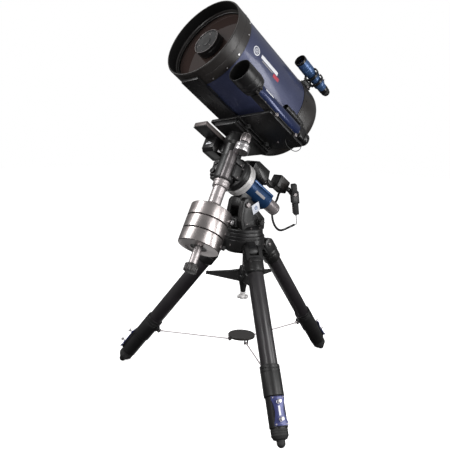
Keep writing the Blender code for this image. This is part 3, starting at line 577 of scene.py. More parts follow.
def optical_tube():
    front, back = FRONT_CELL_BACK - GAP, REAR_CELL_FRONT + GAP
    inside = TUBE_RADIUS - 0.004
    shell = tube_wall(TUBE_RADIUS, inside, back, front, 160, 0.0006)
    piece("tube_shell", "optics", TUBE_BLUE, OPTICS, [shell], ["optical_tube"])
    lining = tube_wall(inside - 0.0001, inside - 0.0009, back + 0.002, front - 0.002, 96)
    piece("tube_lining", "optics", FLOCK, OPTICS, [lining])
    centre = 0.256
    white = ring_cells(0.0, centre, 0.017, 0.0216)
    for inner in (0.004, 0.0095):
        white += ring_cells(0.0, centre, inner, inner + 0.0026, 24)
    white += bar_cells(-0.0085, 0.0095, 0.088, 0.218, 4)
    red = bar_cells(-0.029, -0.012, 0.068, 0.112, 4)
    grey = bar_cells(-0.018, -0.013, 0.122, 0.205, 2)
    for name, ink, cells in (("white", WHITE_INK, white), ("red", RED_INK, red), ("grey", GREY_INK, grey)):
        marks = printed(cells, TUBE_RADIUS)
        piece(f"tube_mark_{name}", "optics", ink, OPTICS @ at(rz=-0.5), [marks])


def front_cell():
    ledge = CORRECTOR_FACE + 0.004
    profile = [
        (0.2004, MOUTH), (0.205, MOUTH), (CELL_RADIUS, MOUTH - 0.004), (CELL_RADIUS, 0.366),
        (CELL_RADIUS - 0.0009, 0.3652), (CELL_RADIUS - 0.0009, 0.3636), (CELL_RADIUS, 0.3628),
        (CELL_RADIUS, FRONT_CELL_BACK + 0.003), (CELL_RADIUS - 0.002, FRONT_CELL_BACK),
        (0.18, FRONT_CELL_BACK), (0.18, CORRECTOR_FACE - 0.0095), (0.1925, CORRECTOR_FACE - 0.0095),
        (0.1925, ledge), (0.195, ledge + 0.001), (0.195, 0.356), (0.1985, 0.36),
    ]
    ring = turned(profile, 160, 0.0008, closed=True)
    piece("front_cell_band", "optics", CHARCOAL, OPTICS, [ring], ["front_cell"])
    lining = [(0.1992, 0.361), (0.2001, MOUTH - 0.0015), (0.1995, MOUTH - 0.0015), (0.1984, 0.361)]
    inside = turned(lining, 128, 0.0002, closed=True)
    piece("front_cell_lining", "optics", FLOCK, OPTICS, [inside])
    retainer = tube_wall(0.1922, 0.1875, CORRECTOR_FACE + GAP, CORRECTOR_FACE + 0.0045, 128, 0.0012)
    heads = [screw(way * 0.1899 + UP * (CORRECTOR_FACE + 0.0044), UP, 0.0019, 0.0012)
             for way in around_axis(8, 12.0)]
    piece("corrector_retainer", "optics", FLOCK, OPTICS, [retainer, *heads])
    screws = []
    for angle in (27.0, -23.2, -44.3, -65.9, -84.7, 48.0, 69.0, 90.0, 111.0, 132.0, 153.0, 174.0, 195.0,
                  216.0, 237.0, 6.0):
        way = heading(angle)
        screws.append(screw(way * (CELL_RADIUS - 0.0006) + UP * 0.332, way, 0.0042, 0.0022))
    piece("front_cell_screws", "optics", CHROME, OPTICS, screws)


def corrector():
    front, back = CORRECTOR_FACE - 0.0006, CORRECTOR_FACE - 0.0084
    disc = tube_wall(0.1918, 0.0442, back, front, 128, 0.0006)
    piece("corrector_glass", "optics", CORRECTOR_GLASS, OPTICS, [disc], ["corrector_plate"])


def secondary_holder():
    face, back = 0.383, CORRECTOR_FACE + GAP
    profile = [
        (0, face - 0.0035), (0.059, face - 0.0035), (0.06, face), (0.064, face), (0.0665, face - 0.003),
        (0.0665, face - 0.012), (0.0655, face - 0.013), (0.0655, face - 0.016), (0.0665, face - 0.017),
        (0.0665, back + 0.004), (0.0645, back), (0.0435, back), (0.0435, 0.306), (0.0425, 0.305), (0, 0.305),
    ]
    cup = turned(profile, 96, 0.0008)
    piece("secondary_cup", "optics", BLACK, OPTICS, [cup], ["secondary_holder"])
    rim = tube_wall(0.065, 0.0632, face - 0.0016, face + 0.0006, 96, 0.0004)
    piece("secondary_rim", "optics", STEEL_FINE, OPTICS, [rim])
    boss = turned([(0, 0.003), (0.02, 0.003), (0.0225, 0.0018), (0.0225, 0), (0, 0)], 48, 0.0006,
                  place=at(z=face - 0.0035))
    piece("secondary_boss", "optics", BLACK, OPTICS, [boss])
    screws = [screw(way * 0.041 + UP * (face - 0.0036), UP, 0.0034, 0.0026) for way in around_axis(3, 80.0)]
    screws += [screw(way * 0.052 + UP * (face - 0.0036), UP, 0.0018, 0.0012) for way in around_axis(6, 20.0)]
    piece("secondary_screws", "optics", STEEL_FINE, OPTICS, screws)
    mirror = turned([(0, 0.3049), (0.036, 0.3049), (0.036, 0.303), (0.018, 0.3026), (0, 0.3024)], 64, 0.0004)
    piece("secondary_mirror", "optics", MIRROR, OPTICS, [mirror])


def inner_optics():
    bore = 0.036 + 0.0012
    outer = 0.1818
    profile = [
        (outer - 0.002, MIRROR_FACE + 0.006), (outer, MIRROR_FACE + 0.004), (outer, MIRROR_FACE - 0.036),
        (bore, MIRROR_FACE - 0.036), (bore, MIRROR_FACE), (0.07, MIRROR_FACE + 0.0008),
        (0.11, MIRROR_FACE + 0.002), (0.15, MIRROR_FACE + 0.0041),
    ]
    dish = turned(profile, 128, 0.0006, closed=True)
    piece("mirror_dish", "primary_mirror", MIRROR, OPTICS, [dish], ["primary_mirror"])
    back = REAR_CELL_BACK + 0.012 + GAP
    wall = [(0.036, 0.06), (0.036, back), (0.03, back)]
    for i in range(9):
        z = back + 0.03 + 0.034 * i
        wall += [(0.03, z), (0.0275, z + 0.0006), (0.03, z + 0.0012)]
    wall.append((0.03, 0.06))
    tube = turned(wall, 48, 0.0003, closed=True)
    piece("baffle", "optics", FLOCK, OPTICS, [tube], ["baffle_tube"])


def rear_cell():
    front, back, shoulder = REAR_CELL_FRONT, REAR_CELL_BACK, 0.075
    profile = [(CELL_RADIUS - 0.001, front), (CELL_RADIUS, front - 0.001), (CELL_RADIUS, front - 0.01),
               (CELL_RADIUS - 0.0008, front - 0.011), (CELL_RADIUS - 0.0008, front - 0.0125),
               (CELL_RADIUS, front - 0.0135)]
    for i in range(13):
        angle = math.radians(7.5 * i)
        profile.append((CELL_RADIUS - shoulder + shoulder * math.cos(angle),
                        back + shoulder - shoulder * math.sin(angle)))
    profile += [
        (0.1, back), (0.097, back + 0.0015), (0.094, back), (0.06, back), (0.058, back - 0.0002),
        (0.03, back - 0.0002), (0.03, back + 0.012),
    ]
    inner = shoulder - 0.012
    for i in range(8, -1, -1):
        angle = math.radians(11.25 * i)
        profile.append((CELL_RADIUS - shoulder + inner * math.cos(angle),
                        back + shoulder - inner * math.sin(angle)))
    profile.append((CELL_RADIUS - 0.012, front))
    shell = turned(profile, 144, 0.0008, closed=True)
    piece("rear_casting", "optics", CHARCOAL, OPTICS, [shell], ["rear_cell"])
    details = []
    for way in around_axis(3, 30.0):
        spot = way * 0.118 + UP * (back + 0.0006)
        details.append(turned([(0, 0.0), (0.015, 0.0), (0.0165, -0.0016), (0.0165, -0.003), (0.0135, -0.003),
                               (0.013, -0.0022), (0, -0.0022)], 40, 0.0004, place=Matrix.Translation(spot)))
    for way in around_axis(12, 8.0):
        details.append(screw(way * (CELL_RADIUS - 0.0012) + UP * (front - 0.022), way, 0.0034, 0.0022))
    piece("rear_cell_fittings", "optics", BLACK, OPTICS, details)


def visual_back():
    top = REAR_CELL_BACK - GAP
    profile = [
        (0.045, top), (0.046, top - 0.001), (0.046, top - 0.004), (0.0445, top - 0.005),
        (0.0445, top - 0.013), (0.046, top - 0.014), (0.046, top - 0.017), (0.045, top - 0.018),
        (0.031, top - 0.0215), (0.03, top - 0.024), (0.03, top - 0.05), (0.029, top - 0.051),
        (0.029, top - 0.054), (0.03, top - 0.055), (0.03, top - 0.06), (0.0255, top - 0.06),
        (0.0255, top - 0.0002), (0.03, top - 0.0002),
    ]
    collar = turned(profile, 72, 0.0006, closed=True)
    piece("visual_back_collar", "optics", BLACK_SMOOTH, OPTICS, [collar], ["visual_back"])
    screws = []
    for way in around_axis(2, 60.0):
        screws += thumb_screw(way * 0.0296 + UP * (top - 0.044), way, (0.0026, 0, 0.01, 16),
                              (0.005, 0.006, 12, 0.0006, 0.008))
    piece("visual_back_screws", "optics", STEEL_FINE, OPTICS, screws)


def focuser():
    place = OPTICS @ at(0.08, -0.04, REAR_CELL_BACK - GAP - 0.028)
    grip = knob(0.0165, 0.022, 20, 0.0012, at(z=0.003))
    cap = turned([(0, 0.0), (0.012, 0.0), (0.014, 0.0012), (0.015, 0.004), (0, 0.004)], 40, 0.0005)
    neck = turned([(0, 0.028), (0.0145, 0.028), (0.0145, 0.0249), (0, 0.0249)], 40, 0.0005)
    piece("focus_grip", "focus_knob", RUBBER, place, [grip, cap, neck], ["focus_knob"])


def dovetail():
    low = PLATE_TOP + GAP
    bar = prism([(-0.052, low), (0.052, low), (0.0455, BAR_TOP), (-0.0455, BAR_TOP)], 0.385 - PLATE_BACK,
                at(z=(0.385 + PLATE_BACK) / 2), 0.0015)
    blocks = [box((-0.045, BAR_TOP - 0.003, start), (0.045, BAR_TOP + 0.012, end), 0.002)
              for start, end in ((-0.12, -0.06), (0.24, 0.31))]
    seat = rod(CELL_RADIUS + GAP, (0, 0, -0.5), (0, 0, 0.5), 160)
    bar = carved(fused(bar, *blocks), seat)
    piece("dovetail_rail", "optics", BLACK, OPTICS, [bar], ["dovetail_bar"])
    heads = []
    for z in (0.352, 0.275, 0.16):
        for side in (-1, 1):
            heads.append(screw((side * 0.03, low + 0.0005, z), (0, -1, 0), 0.005, 0.0035))
    heads.append(screw((0.0, low + 0.0005, 0.22), (0, -1, 0), 0.0042, 0.003))
    piece("dovetail_screws", "optics", BLACK_SMOOTH, OPTICS, heads)
    ribs = [box((x - 0.003, low - 0.0004, 0.172), (x + 0.003, low + 0.004, 0.33), 0.0008)
            for x in (0.021, -0.021)]
    piece("dovetail_ribs", "optics", BLACK_SMOOTH, OPTICS, ribs)


def saddle():
    top, low = PLATE_TOP, PLATE_TOP - 0.0135
    middle = (PLATE_FRONT + PLATE_BACK) / 2
    outline = [(-0.1, PLATE_BACK - middle), (0.262, PLATE_BACK - middle), (0.262, PLATE_FRONT - middle),
               (-0.1, PLATE_FRONT - middle)]
    plate = prism(outline, top - low, at(0, (top + low) / 2, middle, rx=90) @ at(rx=180), 0.0016, 0.01)
    piece("saddle_top", "optics", BLACK, OPTICS, [plate], ["saddle_plate"])
    outline = [(-0.07, low + 0.0005), (0.066, low + 0.0005), (0.066, -0.252), (0.058, -0.262),
               (-0.06, -0.262), (-0.07, -0.254)]
    clamp = [
        prism(outline, PLATE_FRONT - PLATE_BACK - 0.01, at(z=middle - 0.001), 0.002),
        box((0.066, -0.256, -0.155), (0.076, low + 0.002, 0.1), 0.002),
    ]
    piece("saddle_clamp", "optics", BLACK, OPTICS, clamp)
    profile = [
        (0, 0.18), (0.05, 0.18), (0.05, 0.17), (0.0485, 0.169), (0.0485, 0.166), (0.05, 0.165),
        (0.05, 0.152), (0.049, 0.1503), (0.025, 0.1503), (0.025, -0.03), (0, -0.03),
    ]
    piece("dec_flange", "optics", BLACK, HOUR @ ALONG_Y, [turned(profile, 72, 0.0008)])
    for name, slot, look, spots in (
        ("saddle_bolts", "steel", STEEL_FINE, ((0.082, 0.002), (0.158, -0.107), (0.0775, -0.146))),
        ("saddle_dark_bolts", "black_casting", BLACK_SMOOTH,
         ((0.158, 0.06), (0.225, 0.06), (0.225, -0.107), (0.11, 0.09))),
    ):
        bolts = [screw((x, low + 0.0004, z), (0, -1, 0), 0.0052, 0.0036) for x, z in spots]
        piece(name, "optics", look, OPTICS, bolts)
    ridge = [box((0.083, low - 0.0065, PLATE_BACK + 0.01), (0.09, low + 0.001, PLATE_FRONT + 0.016), 0.0015),
             box((0.078, low - 0.009, PLATE_FRONT - 0.004), (0.095, low + 0.001, PLATE_FRONT + 0.012), 0.002)]
    piece("saddle_ridge", "optics", BLACK, OPTICS, ridge)
    knobs = []
    for z in (0.08, -0.078):
        spot = Vector((0.2615, top - 0.0068, z))
        knobs += [*thumb_screw(spot, EAST, (0.0045, -0.004, 0.008, 20), (0.0085, 0.013, 16, 0.0007, 0.0065)),
                  rod(0.004, spot + EAST * 0.018, spot + EAST * 0.0222, 20)]
    piece("saddle_edge_knobs", "optics", STEEL_FINE, OPTICS, knobs)
    handles = []
    for z in (0.05, -0.1):
        handles += thumb_screw((0.076, -0.247, z), EAST, (0.0045, -0.003, 0.014, 20),
                               (0.0125, 0.016, 6, 0.004, 0.012))
    piece("saddle_clamp_knobs", "optics", RUBBER, OPTICS, handles)


def finder():
    blue = [
        (0, -0.031), (0.0268, -0.031), (0.0268, -0.004), (0.03, -0.004), (0.03, -0.018), (0.029, -0.02),
        (0.029, -0.034), (0.03, -0.036), (0.03, -0.052), (0.0288, -0.054), (0.0288, -0.06),
        (0.03, -0.062), (0.03, -0.085), (0.025, -0.092), (0.025, -0.128), (0.024, -0.13),
        (0.024, -0.144), (0.025, -0.146), (0.025, -0.178), (0.0285, -0.181), (0.029, -0.184),
        (0.029, -0.194), (0.0275, -0.198), (0.0235, -0.2), (0.0235, -0.222), (0, -0.222),
    ]
    piece("finder_body", "optics", BRIGHT_BLUE, FINDER, [turned(blue, 64, 0.0008)],
          ["finder_tube"])
    ends = [
        turned([(0.027, 0), (0.0302, 0), (0.0302, -0.012), (0.0298, -0.0128), (0.027, -0.0128)], 64, 0.0006,
               closed=True),
        turned([(0, -0.2215), (0.0238, -0.2215), (0.0238, -0.24), (0.019, -0.246), (0.019, -0.268),
                (0.017, -0.272), (0.011, -0.272), (0.01, -0.268), (0, -0.268)], 56, 0.0008),
        tube_wall(0.0269, 0.0262, -0.0305, -0.001, 56, 0.0002),
    ]
    piece("finder_ends", "optics", BLACK_SMOOTH, FINDER, ends)
    ribs = [knob(0.0222, 0.014, 28, 0.0008, at(z=-0.2595))]
    piece("finder_eyepiece_grip", "optics", RUBBER, FINDER, ribs)
    lens = turned([(0, -0.0262), (0.012, -0.0268), (0.0262, -0.03), (0.0262, -0.0306), (0, -0.0306)],
                  48, 0.0002)
    piece("finder_lens", "optics", LENS_GLASS, FINDER, [lens])
    inside = CELL_RADIUS + 0.0006 - FINDER_PLACE[0]
    foot = [
        box((inside, -0.014, -0.165), (inside + 0.01, 0.014, -0.105), 0.0015),
        prism([(inside + 0.008, -0.01), (-0.036, -0.007), (-0.036, 0.007), (inside + 0.008, 0.01)], 0.054,
              at(z=-0.135), 0.0015),
        box((-0.04, -0.0135, -0.168), (-0.0345, 0.0135, -0.105), 0.0015),
    ]
    for place in (-0.114, -0.16):
        foot.append(turned([(0.037, place + 0.007), (0.037, place - 0.007), (0.0315, place - 0.007),
                            (0.0315, place - 0.004), (0.03, place - 0.004), (0.03, place + 0.004),
                            (0.0315, place + 0.004), (0.0315, place + 0.007)], 56, 0.0008, closed=True))
    piece("finder_mount", "optics", BLACK, FINDER, foot, ["finder_bracket"])
    screws = []
    for place in (-0.114, -0.16):
        for way in around_axis(3, 60.0):
            if abs(way.x + 1) < 0.01:
                continue
            screws += thumb_screw(UP * place, way, (0.0022, 0.0245, 0.046, 16),
                                  (0.0044, 0.009, 12, 0.0006, 0.0455))
    piece("finder_screws", "optics", CHROME, FINDER, screws)
    side = thumb_screw((inside + 0.004, -0.014, -0.135), Vector((0, -1, 0)), (0.0026, 0, 0.008, 16),
                       (0.006, 0.008, 12, 0.0008, 0.006))
    piece("finder_foot_screw", "optics", STEEL_FINE, FINDER, side)


def oval(radius, half_straight):
    """Two half circles about (0, half_straight) and (0, -half_straight)."""
    points = []
    for side in (1, -1):
        for i in range(25):
            angle = math.pi * (i / 24 - 0.5)
            points.append((side * radius * math.sin(angle),
                           side * (half_straight + radius * math.cos(angle))))
    return points[::-1]


def guide_scope():
    back = -GUIDE_SHIELD_LENGTH
    profile = [
        (0, -0.071), (0.05, -0.071), (0.0508, -0.002), (0.052, 0.0), (0.054, -0.0015), (0.054, -0.052),
        (0.0528, -0.0535), (0.0528, -0.056), (0.054, -0.0575), (0.054, -0.078), (0.052, -0.08),
        (0.052, -0.083), (0.0535, -0.085), (0.0535, -0.093), (0.0515, -0.095), (0.0515, -0.098),
        (0.052, -0.1), (0.05, back + 0.01), (0.034, back), (0, back),
    ]
    shell = turned(profile, 96, 0.0008)
    piece("guide_shield", "optics", BLACK, GUIDE, [shell], ["guide_dew_shield"])
    lining = tube_wall(0.0502, 0.0495, -0.07, -0.004, 72, 0.0002)
    piece("guide_shield_lining", "optics", FLOCK, GUIDE, [lining])
    lens = turned([(0, -0.0665), (0.02, -0.0672), (0.04, -0.07), (0.04, -0.0708), (0, -0.0708)], 64, 0.0002)
    piece("guide_lens", "optics", LENS_GLASS, GUIDE, [lens])
    ring = tube_wall(0.044, 0.0398, -0.0709, -0.0675, 64, 0.0006)
    piece("guide_lens_ring", "optics", BLACK_SMOOTH, GUIDE, [ring])
    tabs = [box((0.05, y - 0.005, -0.116), (0.0546, y + 0.005, -0.098), 0.0012, at(rz=turn))
            for turn in (-38.0, 142.0) for y in (-0.012, 0.012)]
    piece("guide_shield_tabs", "optics", CHARCOAL, GUIDE, tabs)
    top = -GUIDE_SHIELD_LENGTH - GAP
    middle = top - GUIDE_BODY_LENGTH / 2
    outline = oval(0.028, 0.004)
    body = prism(outline, GUIDE_BODY_LENGTH, at(z=middle), 0.0015)
    piece("guide_housing", "optics", GUIDE_BLUE, GUIDE, [body], ["guide_body"])
    low = PLATE_TOP + GAP - GUIDE_PLACE[1]
    rails = [box((-0.022, low, top - 0.33), (0.022, low + 0.006, top - 0.004), 0.0012),
             box((-0.012, low + 0.004, top - 0.33), (0.012, -0.028, top - 0.004), 0.0012)]
    piece("guide_rail", "optics", BLACK, GUIDE, rails)
    hoops = [prism(oval(0.0292, 0.0042), 0.008, at(z=z), 0.001) for z in (top - 0.004, top - 0.326)]
    piece("guide_end_hoops", "optics", BLACK_SMOOTH, GUIDE, hoops)
    stripe = bar_cells(-0.0045, 0.0045, top - 0.095, top - 0.035, 3)
    mark = printed(stripe, 0.028)
    piece("guide_mark", "optics", WHITE_INK, GUIDE @ at(y=0.004, rz=22.0), [mark])
    screws = [screw((0.021, low + 0.003, z), EAST, 0.0028, 0.003) for z in (top - 0.06, top - 0.27)]
    piece("guide_rail_screws", "optics", STEEL_FINE, GUIDE, screws)
    end = top - GUIDE_BODY_LENGTH - GAP
    cap = box((-0.029, -0.033, end - 0.045), (0.029, 0.033, end), 0.014, segments=6)
    arm = box((-0.06, 0.012, end - 0.03), (-0.02, 0.03, end - 0.012), 0.002)
    piece("guide_cap", "optics", BLACK_SMOOTH, GUIDE, [cap, arm], ["guide_rear_cap"])
    lens_place = at(-0.05, 0.03, end)
    barrel = turned([(0, 0.042), (0.011, 0.042), (0.0125, 0.05), (0.016, 0.05), (0.016, 0.03),
                     (0.015, 0.0285), (0.015, 0.02), (0.016, 0.0185), (0.016, -0.036), (0.014, -0.04),
                     (0, -0.04)], 48, 0.0006, place=lens_place)
    piece("wide_lens_barrel", "optics", BLACK, GUIDE, [barrel])
    glass = turned([(0, 0.046), (0.006, 0.0452), (0.0112, 0.0422), (0.0112, 0.0419), (0, 0.0419)], 32, 0.0002,
                   place=lens_place)
    piece("wide_lens_glass", "optics", LENS_GLASS, GUIDE, [glass])
    cover = prism(outline, 0.038, at(z=end - 0.064), 0.01)
    seam = prism(outline, 0.003, at(z=end - 0.044), 0.001)
    piece("guide_end_cover", "optics", BLACK_SMOOTH, GUIDE, [cover, seam])
    side = at(-0.006, 0.056, end)
    barrel = turned([(0, 0.098), (0.013, 0.099), (0.0148, 0.1145), (0.016, 0.115), (0.0168, 0.113),
                     (0.0168, 0.09), (0.0158, 0.0885), (0.0158, 0.07), (0.0168, 0.0685), (0.0168, 0.01),
                     (0.015, -0.018), (0.014, -0.02), (0, -0.02)], 64, 0.0006, place=side)
    link = box((-0.02, 0.022, end - 0.03), (0.008, 0.06, end - 0.004), 0.003)
    strap = [tube_wall(0.0185, 0.0166, z - 0.005, z + 0.005, 48, 0.0008, side) for z in (0.025, 0.06)]
    piece("guide_side_barrel", "optics", BLACK, GUIDE, [barrel, link, *strap])
    socket = tube_wall(0.005, 0.003, -0.0015, 0.004, 24, 0.0004, at(-0.005, -0.012, end - 0.0825))
    piece("guide_socket", "optics", STEEL_FINE, GUIDE, [socket])


optical_tube()
front_cell()
corrector()
secondary_holder()
inner_optics()
rear_cell()
visual_back()
focuser()
dovetail()
saddle()
finder()
guide_scope()

# ---- declination head and counterweights --------------------------------------------------


def head_casting():
    back = RA_RING_FRONT + GAP
    disc = turned([
        (0, -0.04), (0.071, -0.04), (0.08, -0.048), (0.08, -0.062), (0.0788, -0.0632),
        (0.0788, -0.0652), (0.08, -0.0664), (0.08, back), (0, back),
    ], 96, 0.0012)
    housing = turned([
        (0, 0.15), (0.056, 0.15), (0.057, 0.148), (0.057, 0.1225), (0.0555, 0.12), (0.0478, 0.11),
        (0.047, 0.106), (0.047, 0.05), (0.0462, 0.049), (0.0462, 0.046), (0.047, 0.045),
        (0.047, -0.058), (0.0455, -0.066), (0.041, HOUSING_END), (0, HOUSING_END),
    ], 96, 0.0012, place=ALONG_Y)
    worm = box((-0.075, -0.055, -0.03), (-0.03, 0.045, 0.03), 0.014, segments=6)
    piece("declination_disc", "ra_head", BLACK, HOUR, [disc], ["head_casting"])
    shaft = rod(0.03, (0, 0, POLAR_SHAFT_END), (0, 0, RA_RING_FRONT), 64)
    piece("polar_shaft", "ra_head", STEEL_FINE, HOUR, [shaft], ["polar_shaft"])
    piece("declination_housing", "ra_head", BLACK, HOUR, [housing])
    piece("declination_worm_cover", "ra_head", BLACK, HOUR, [worm])
    gussets = [
        prism([(0.0, -0.055), (0.062, -0.04), (0.062, 0.04), (0.0, 0.055)], 0.026, at(z=-0.045), 0.003),
        box((0.034, -0.052, -0.046), (0.062, 0.016, 0.006), 0.008, segments=5),
        box((0.026, 0.02, -0.046), (0.056, 0.052, 0.01), 0.006, segments=4),
    ]
    piece("declination_ribs", "ra_head", BLACK, HOUR, gussets)
    bolts = [screw(way * 0.0655 + UP * -0.0405, UP, 0.0042, 0.003) for way in around_axis(6, 10.0)]
    bolts += [screw((0.0618, y, -0.022), EAST, 0.004, 0.003) for y in (0.022, -0.042)]
    bolts.append(screw((0.044, -0.051, -0.012), (0, -1, 0), 0.0036, 0.003))
    bolts += [screw((-0.0745, 0.01, z), (-1, 0, 0), 0.0032, 0.0025) for z in (-0.014, 0.014)]
    piece("declination_bolts", "ra_head", STEEL_FINE, HOUR, bolts)
    pins = [rod(0.0026, (-0.03, 0.062, 0.036), (-0.036, 0.062, 0.052), 20),
            knob(0.0045, 0.007, 12, 0.0006, between((-0.036, 0.062, 0.052), (-0.04, 0.062, 0.062)))]
    piece("declination_lock", "ra_head", CHROME, HOUR, pins)
    # A lighter grey barrel sunk into the camera-facing side of the black declination housing. It is partly a
    # grey barrel and partly a painted highlight of the housing.
    axis = HOUR @ at(0.0245, 0, 0.019) @ ALONG_Y
    barrel = turned([
        (0, 0.07), (0.0225, 0.07), (0.024, 0.068), (0.024, 0.006), (0.0233, 0.005), (0.0233, 0.002),
        (0.024, 0.001), (0.024, -0.064), (0.0225, -0.0695), (0.0205, -0.072), (0, -0.072),
    ], 72, 0.0008)
    piece("dec_barrel_painted_highlight", "ra_head", SATIN_GREY_HIGHLIGHT, axis, [barrel])
    lumps = [box((-0.07, -0.064, -0.012), (-0.04, -0.046, 0.022), 0.006, segments=4),
             rod(0.013, (-0.052, -0.03, 0.026), (-0.052, -0.03, 0.04), 32, 0.002),
             rod(0.011, (-0.052, 0.012, 0.026), (-0.052, 0.012, 0.036), 32, 0.002)]
    piece("worm_cover_lumps", "ra_head", BLACK, HOUR, lumps)


def dec_drive():
    side = [(0.045, 0.085), (0.045, 0.1415), (-0.066, 0.1415), (-0.066, 0.085), (-0.052, 0.07), (0.03, 0.07)]
    cover = prism(side, 0.074, at(x=-0.111) @ ACROSS, 0.003, 0.002)
    piece("dec_drive_cover", "ra_head", BLACK_SMOOTH, HOUR, [cover], ["dec_motor_cover"])
    neck = [box((-0.078, 0.08, -0.03), (-0.036, 0.128, 0.026), 0.004)]
    neck.append(box((-0.146, 0.1395, -0.036), (-0.064, 0.1425, 0.16), 0.0008))
    piece("dec_drive_neck", "ra_head", BLACK, HOUR, neck)
    plate = box((-0.142, 0.1423, -0.04), (-0.061, 0.164, 0.163), 0.0035)
    piece("dec_cover_plate", "ra_head", PLATE_GREY, HOUR, [plate])
    marks = [box((-0.1278, 0.1042, 0.0659), (-0.094, 0.1106, 0.0662), 0.0),
             box((-0.119, 0.115, 0.0659), (-0.103, 0.1172, 0.0662), 0.0)]
    piece("dec_drive_mark", "ra_head", WHITE_INK, HOUR, marks)
    screws = [screw((x, 0.1638, z), (0, 1, 0), 0.0032, 0.002)
              for x in (-0.136, -0.067) for z in (-0.03, 0.06, 0.154)]
    screws += [screw((x, y, 0.0658), (0, 0, 1), 0.0022, 0.0014) for x in (-0.142, -0.08)
               for y in (0.092, 0.136)]
    piece("dec_drive_screws", "ra_head", BLACK, HOUR, screws)


def clutch():
    place = HOUR @ at(0.08, 0, 0.025) @ ALONG_Y
    cup = turned([
        (0, 0.112), (0.024, 0.112), (0.0255, 0.11), (0.03, 0.1085), (0.0325, 0.105), (0.0335, 0.1035),
        (0.0335, 0.1), (0.0355, 0.098), (0.0355, 0.088), (0.034, 0.0865), (0.034, 0.083),
        (0.0355, 0.0815), (0.0355, 0.063), (0.032, 0.06), (0, 0.06),
    ], 96, 0.001)
    piece("clutch_cup", "dec_clutch", CHROME, place, [cup], ["dec_clutch_knob"])
    grip = knob(0.0235, 0.04, 14, 0.003, at(z=0.116), 0.002)
    crown = turned([(0, 0.161), (0.019, 0.161), (0.0215, 0.158), (0.0215, 0.1552), (0, 0.1552)], 64, 0.0008)
    piece("clutch_grip", "dec_clutch", STEEL_FINE, place, [grip, crown])
    waist = turned([(0, 0.118), (0.0215, 0.118), (0.0215, 0.11), (0, 0.11)], 64, 0.0008)
    piece("clutch_waist", "dec_clutch", BLACK, place, [waist])


def counterweight_parts():
    top = HOUSING_END - GAP
    flange = turned([
        (0, top), (0.0375, top), (0.0385, top - 0.001), (0.0385, -0.084), (0.037, -0.085), (0.037, -0.0875),
        (0.0385, -0.0885), (0.0385, -0.101), (0.0365, -0.102), (0.0365, -0.1035), (0.038, -0.1045),
        (0.038, -0.107), (0.037, -0.108), (0.0322, -0.1105), (0.031, -0.1125), (0.031, -0.16),
        (0.0303, -0.161), (0.0303, -0.163), (0.031, -0.164), (0.031, SLEEVE_END + 0.006),
        (0.027, SLEEVE_END), (0, SLEEVE_END),
    ], 96, 0.0008)
    piece("shaft_sleeve", "ra_head", SHAFT_METAL, HOUR @ ALONG_Y, [flange], ["dec_sleeve"])
    way = heading(20.0)
    lock = [rod(0.0036, way * 0.036 + UP * -0.096, way * 0.044 + UP * -0.096, 20)]
    piece("sleeve_lock_pin", "ra_head", STEEL_FINE, HOUR @ ALONG_Y, lock)
    bar = turned([(0, SLEEVE_END - GAP), (SHAFT_RADIUS, SLEEVE_END - GAP), (SHAFT_RADIUS, SHAFT_END + 0.001),
                  (SHAFT_RADIUS - 0.001, SHAFT_END), (0, SHAFT_END)], 96, 0.0006)
    piece("weight_shaft", "ra_head", SHAFT_METAL, HOUR @ ALONG_Y, [bar], ["counterweight_shaft"])
    half = WEIGHT_HEIGHT / 2
    bore = SHAFT_RADIUS + 0.0006
    for number in (1, 2, 3):
        place = HOUR @ at(y=FIRST_WEIGHT - (number - 1) * WEIGHT_PITCH) @ ALONG_Y
        body = f"counterweight_{number}"
        disc = turned([
            (WEIGHT_RADIUS - 0.0022, half), (WEIGHT_RADIUS, half - 0.0022), (WEIGHT_RADIUS, -half + 0.0022),
            (WEIGHT_RADIUS - 0.0022, -half), (0.04, -half), (0.0385, -half + 0.003),
            (bore + 0.008, -half + 0.003), (bore + 0.008, half - 0.003), (0.0385, half - 0.003),
            (0.04, half),
        ], 160, 0.0006, closed=True)
        piece(f"weight_disc_{number}", body, STEEL, place, [disc], [body])
        hub = turned([
            (0.0384, half - 0.0028), (bore, half - 0.0028), (bore, -half + 0.0028), (0.0384, -half + 0.0028),
            (0.0384, -half + 0.0045), (bore + 0.0078, -half + 0.006), (bore + 0.0078, half - 0.006),
            (0.0384, half - 0.0045),
        ], 64, 0.0004, closed=True)
        piece(f"weight_hub_{number}", body, BLACK, place, [hub])
        way = heading(35.0)
        boss = [rod(0.0125, way * (WEIGHT_RADIUS - 0.004), way * (WEIGHT_RADIUS + 0.0012), 32),
                rod(0.004, way * (WEIGHT_RADIUS - 0.002), way * (WEIGHT_RADIUS + 0.007), 24)]
        piece(f"weight_boss_{number}", body, STEEL_FINE, place, boss)
        grip = knob(0.011, 0.0125, 10, 0.0012, between(way * (WEIGHT_RADIUS + 0.0055), way * 0.2))
        look, slot = (CHROME, "chrome") if number == 1 else (RUBBER, "rubber")
        piece(f"weight_knob_{number}", body, look, place, [grip])


def toe_saver():
    end = SHAFT_END - GAP
    place = HOUR @ ALONG_Y
    grip = knob(0.032, 0.03, 12, 0.0035, at(z=end - 0.038), 0.0022)
    rims = [turned([(0, end - 0.005), (0.03, end - 0.005), (0.0315, end - 0.007), (0.0315, end - 0.0115),
                    (0, end - 0.0115)], 72, 0.0008),
            turned([(0, end), (0.024, end), (0.024, end - 0.006), (0, end - 0.006)], 64, 0.0008),
            turned([(0, end - 0.037), (0.027, end - 0.037), (0.025, end - 0.0376), (0, end - 0.0376)],
                   64, 0.0005)]
    piece("toe_stop", "toe_saver", CHARCOAL, place, [grip, *rims], ["toe_saver"])


# ---- right ascension body and its boxes ---------------------------------------------------


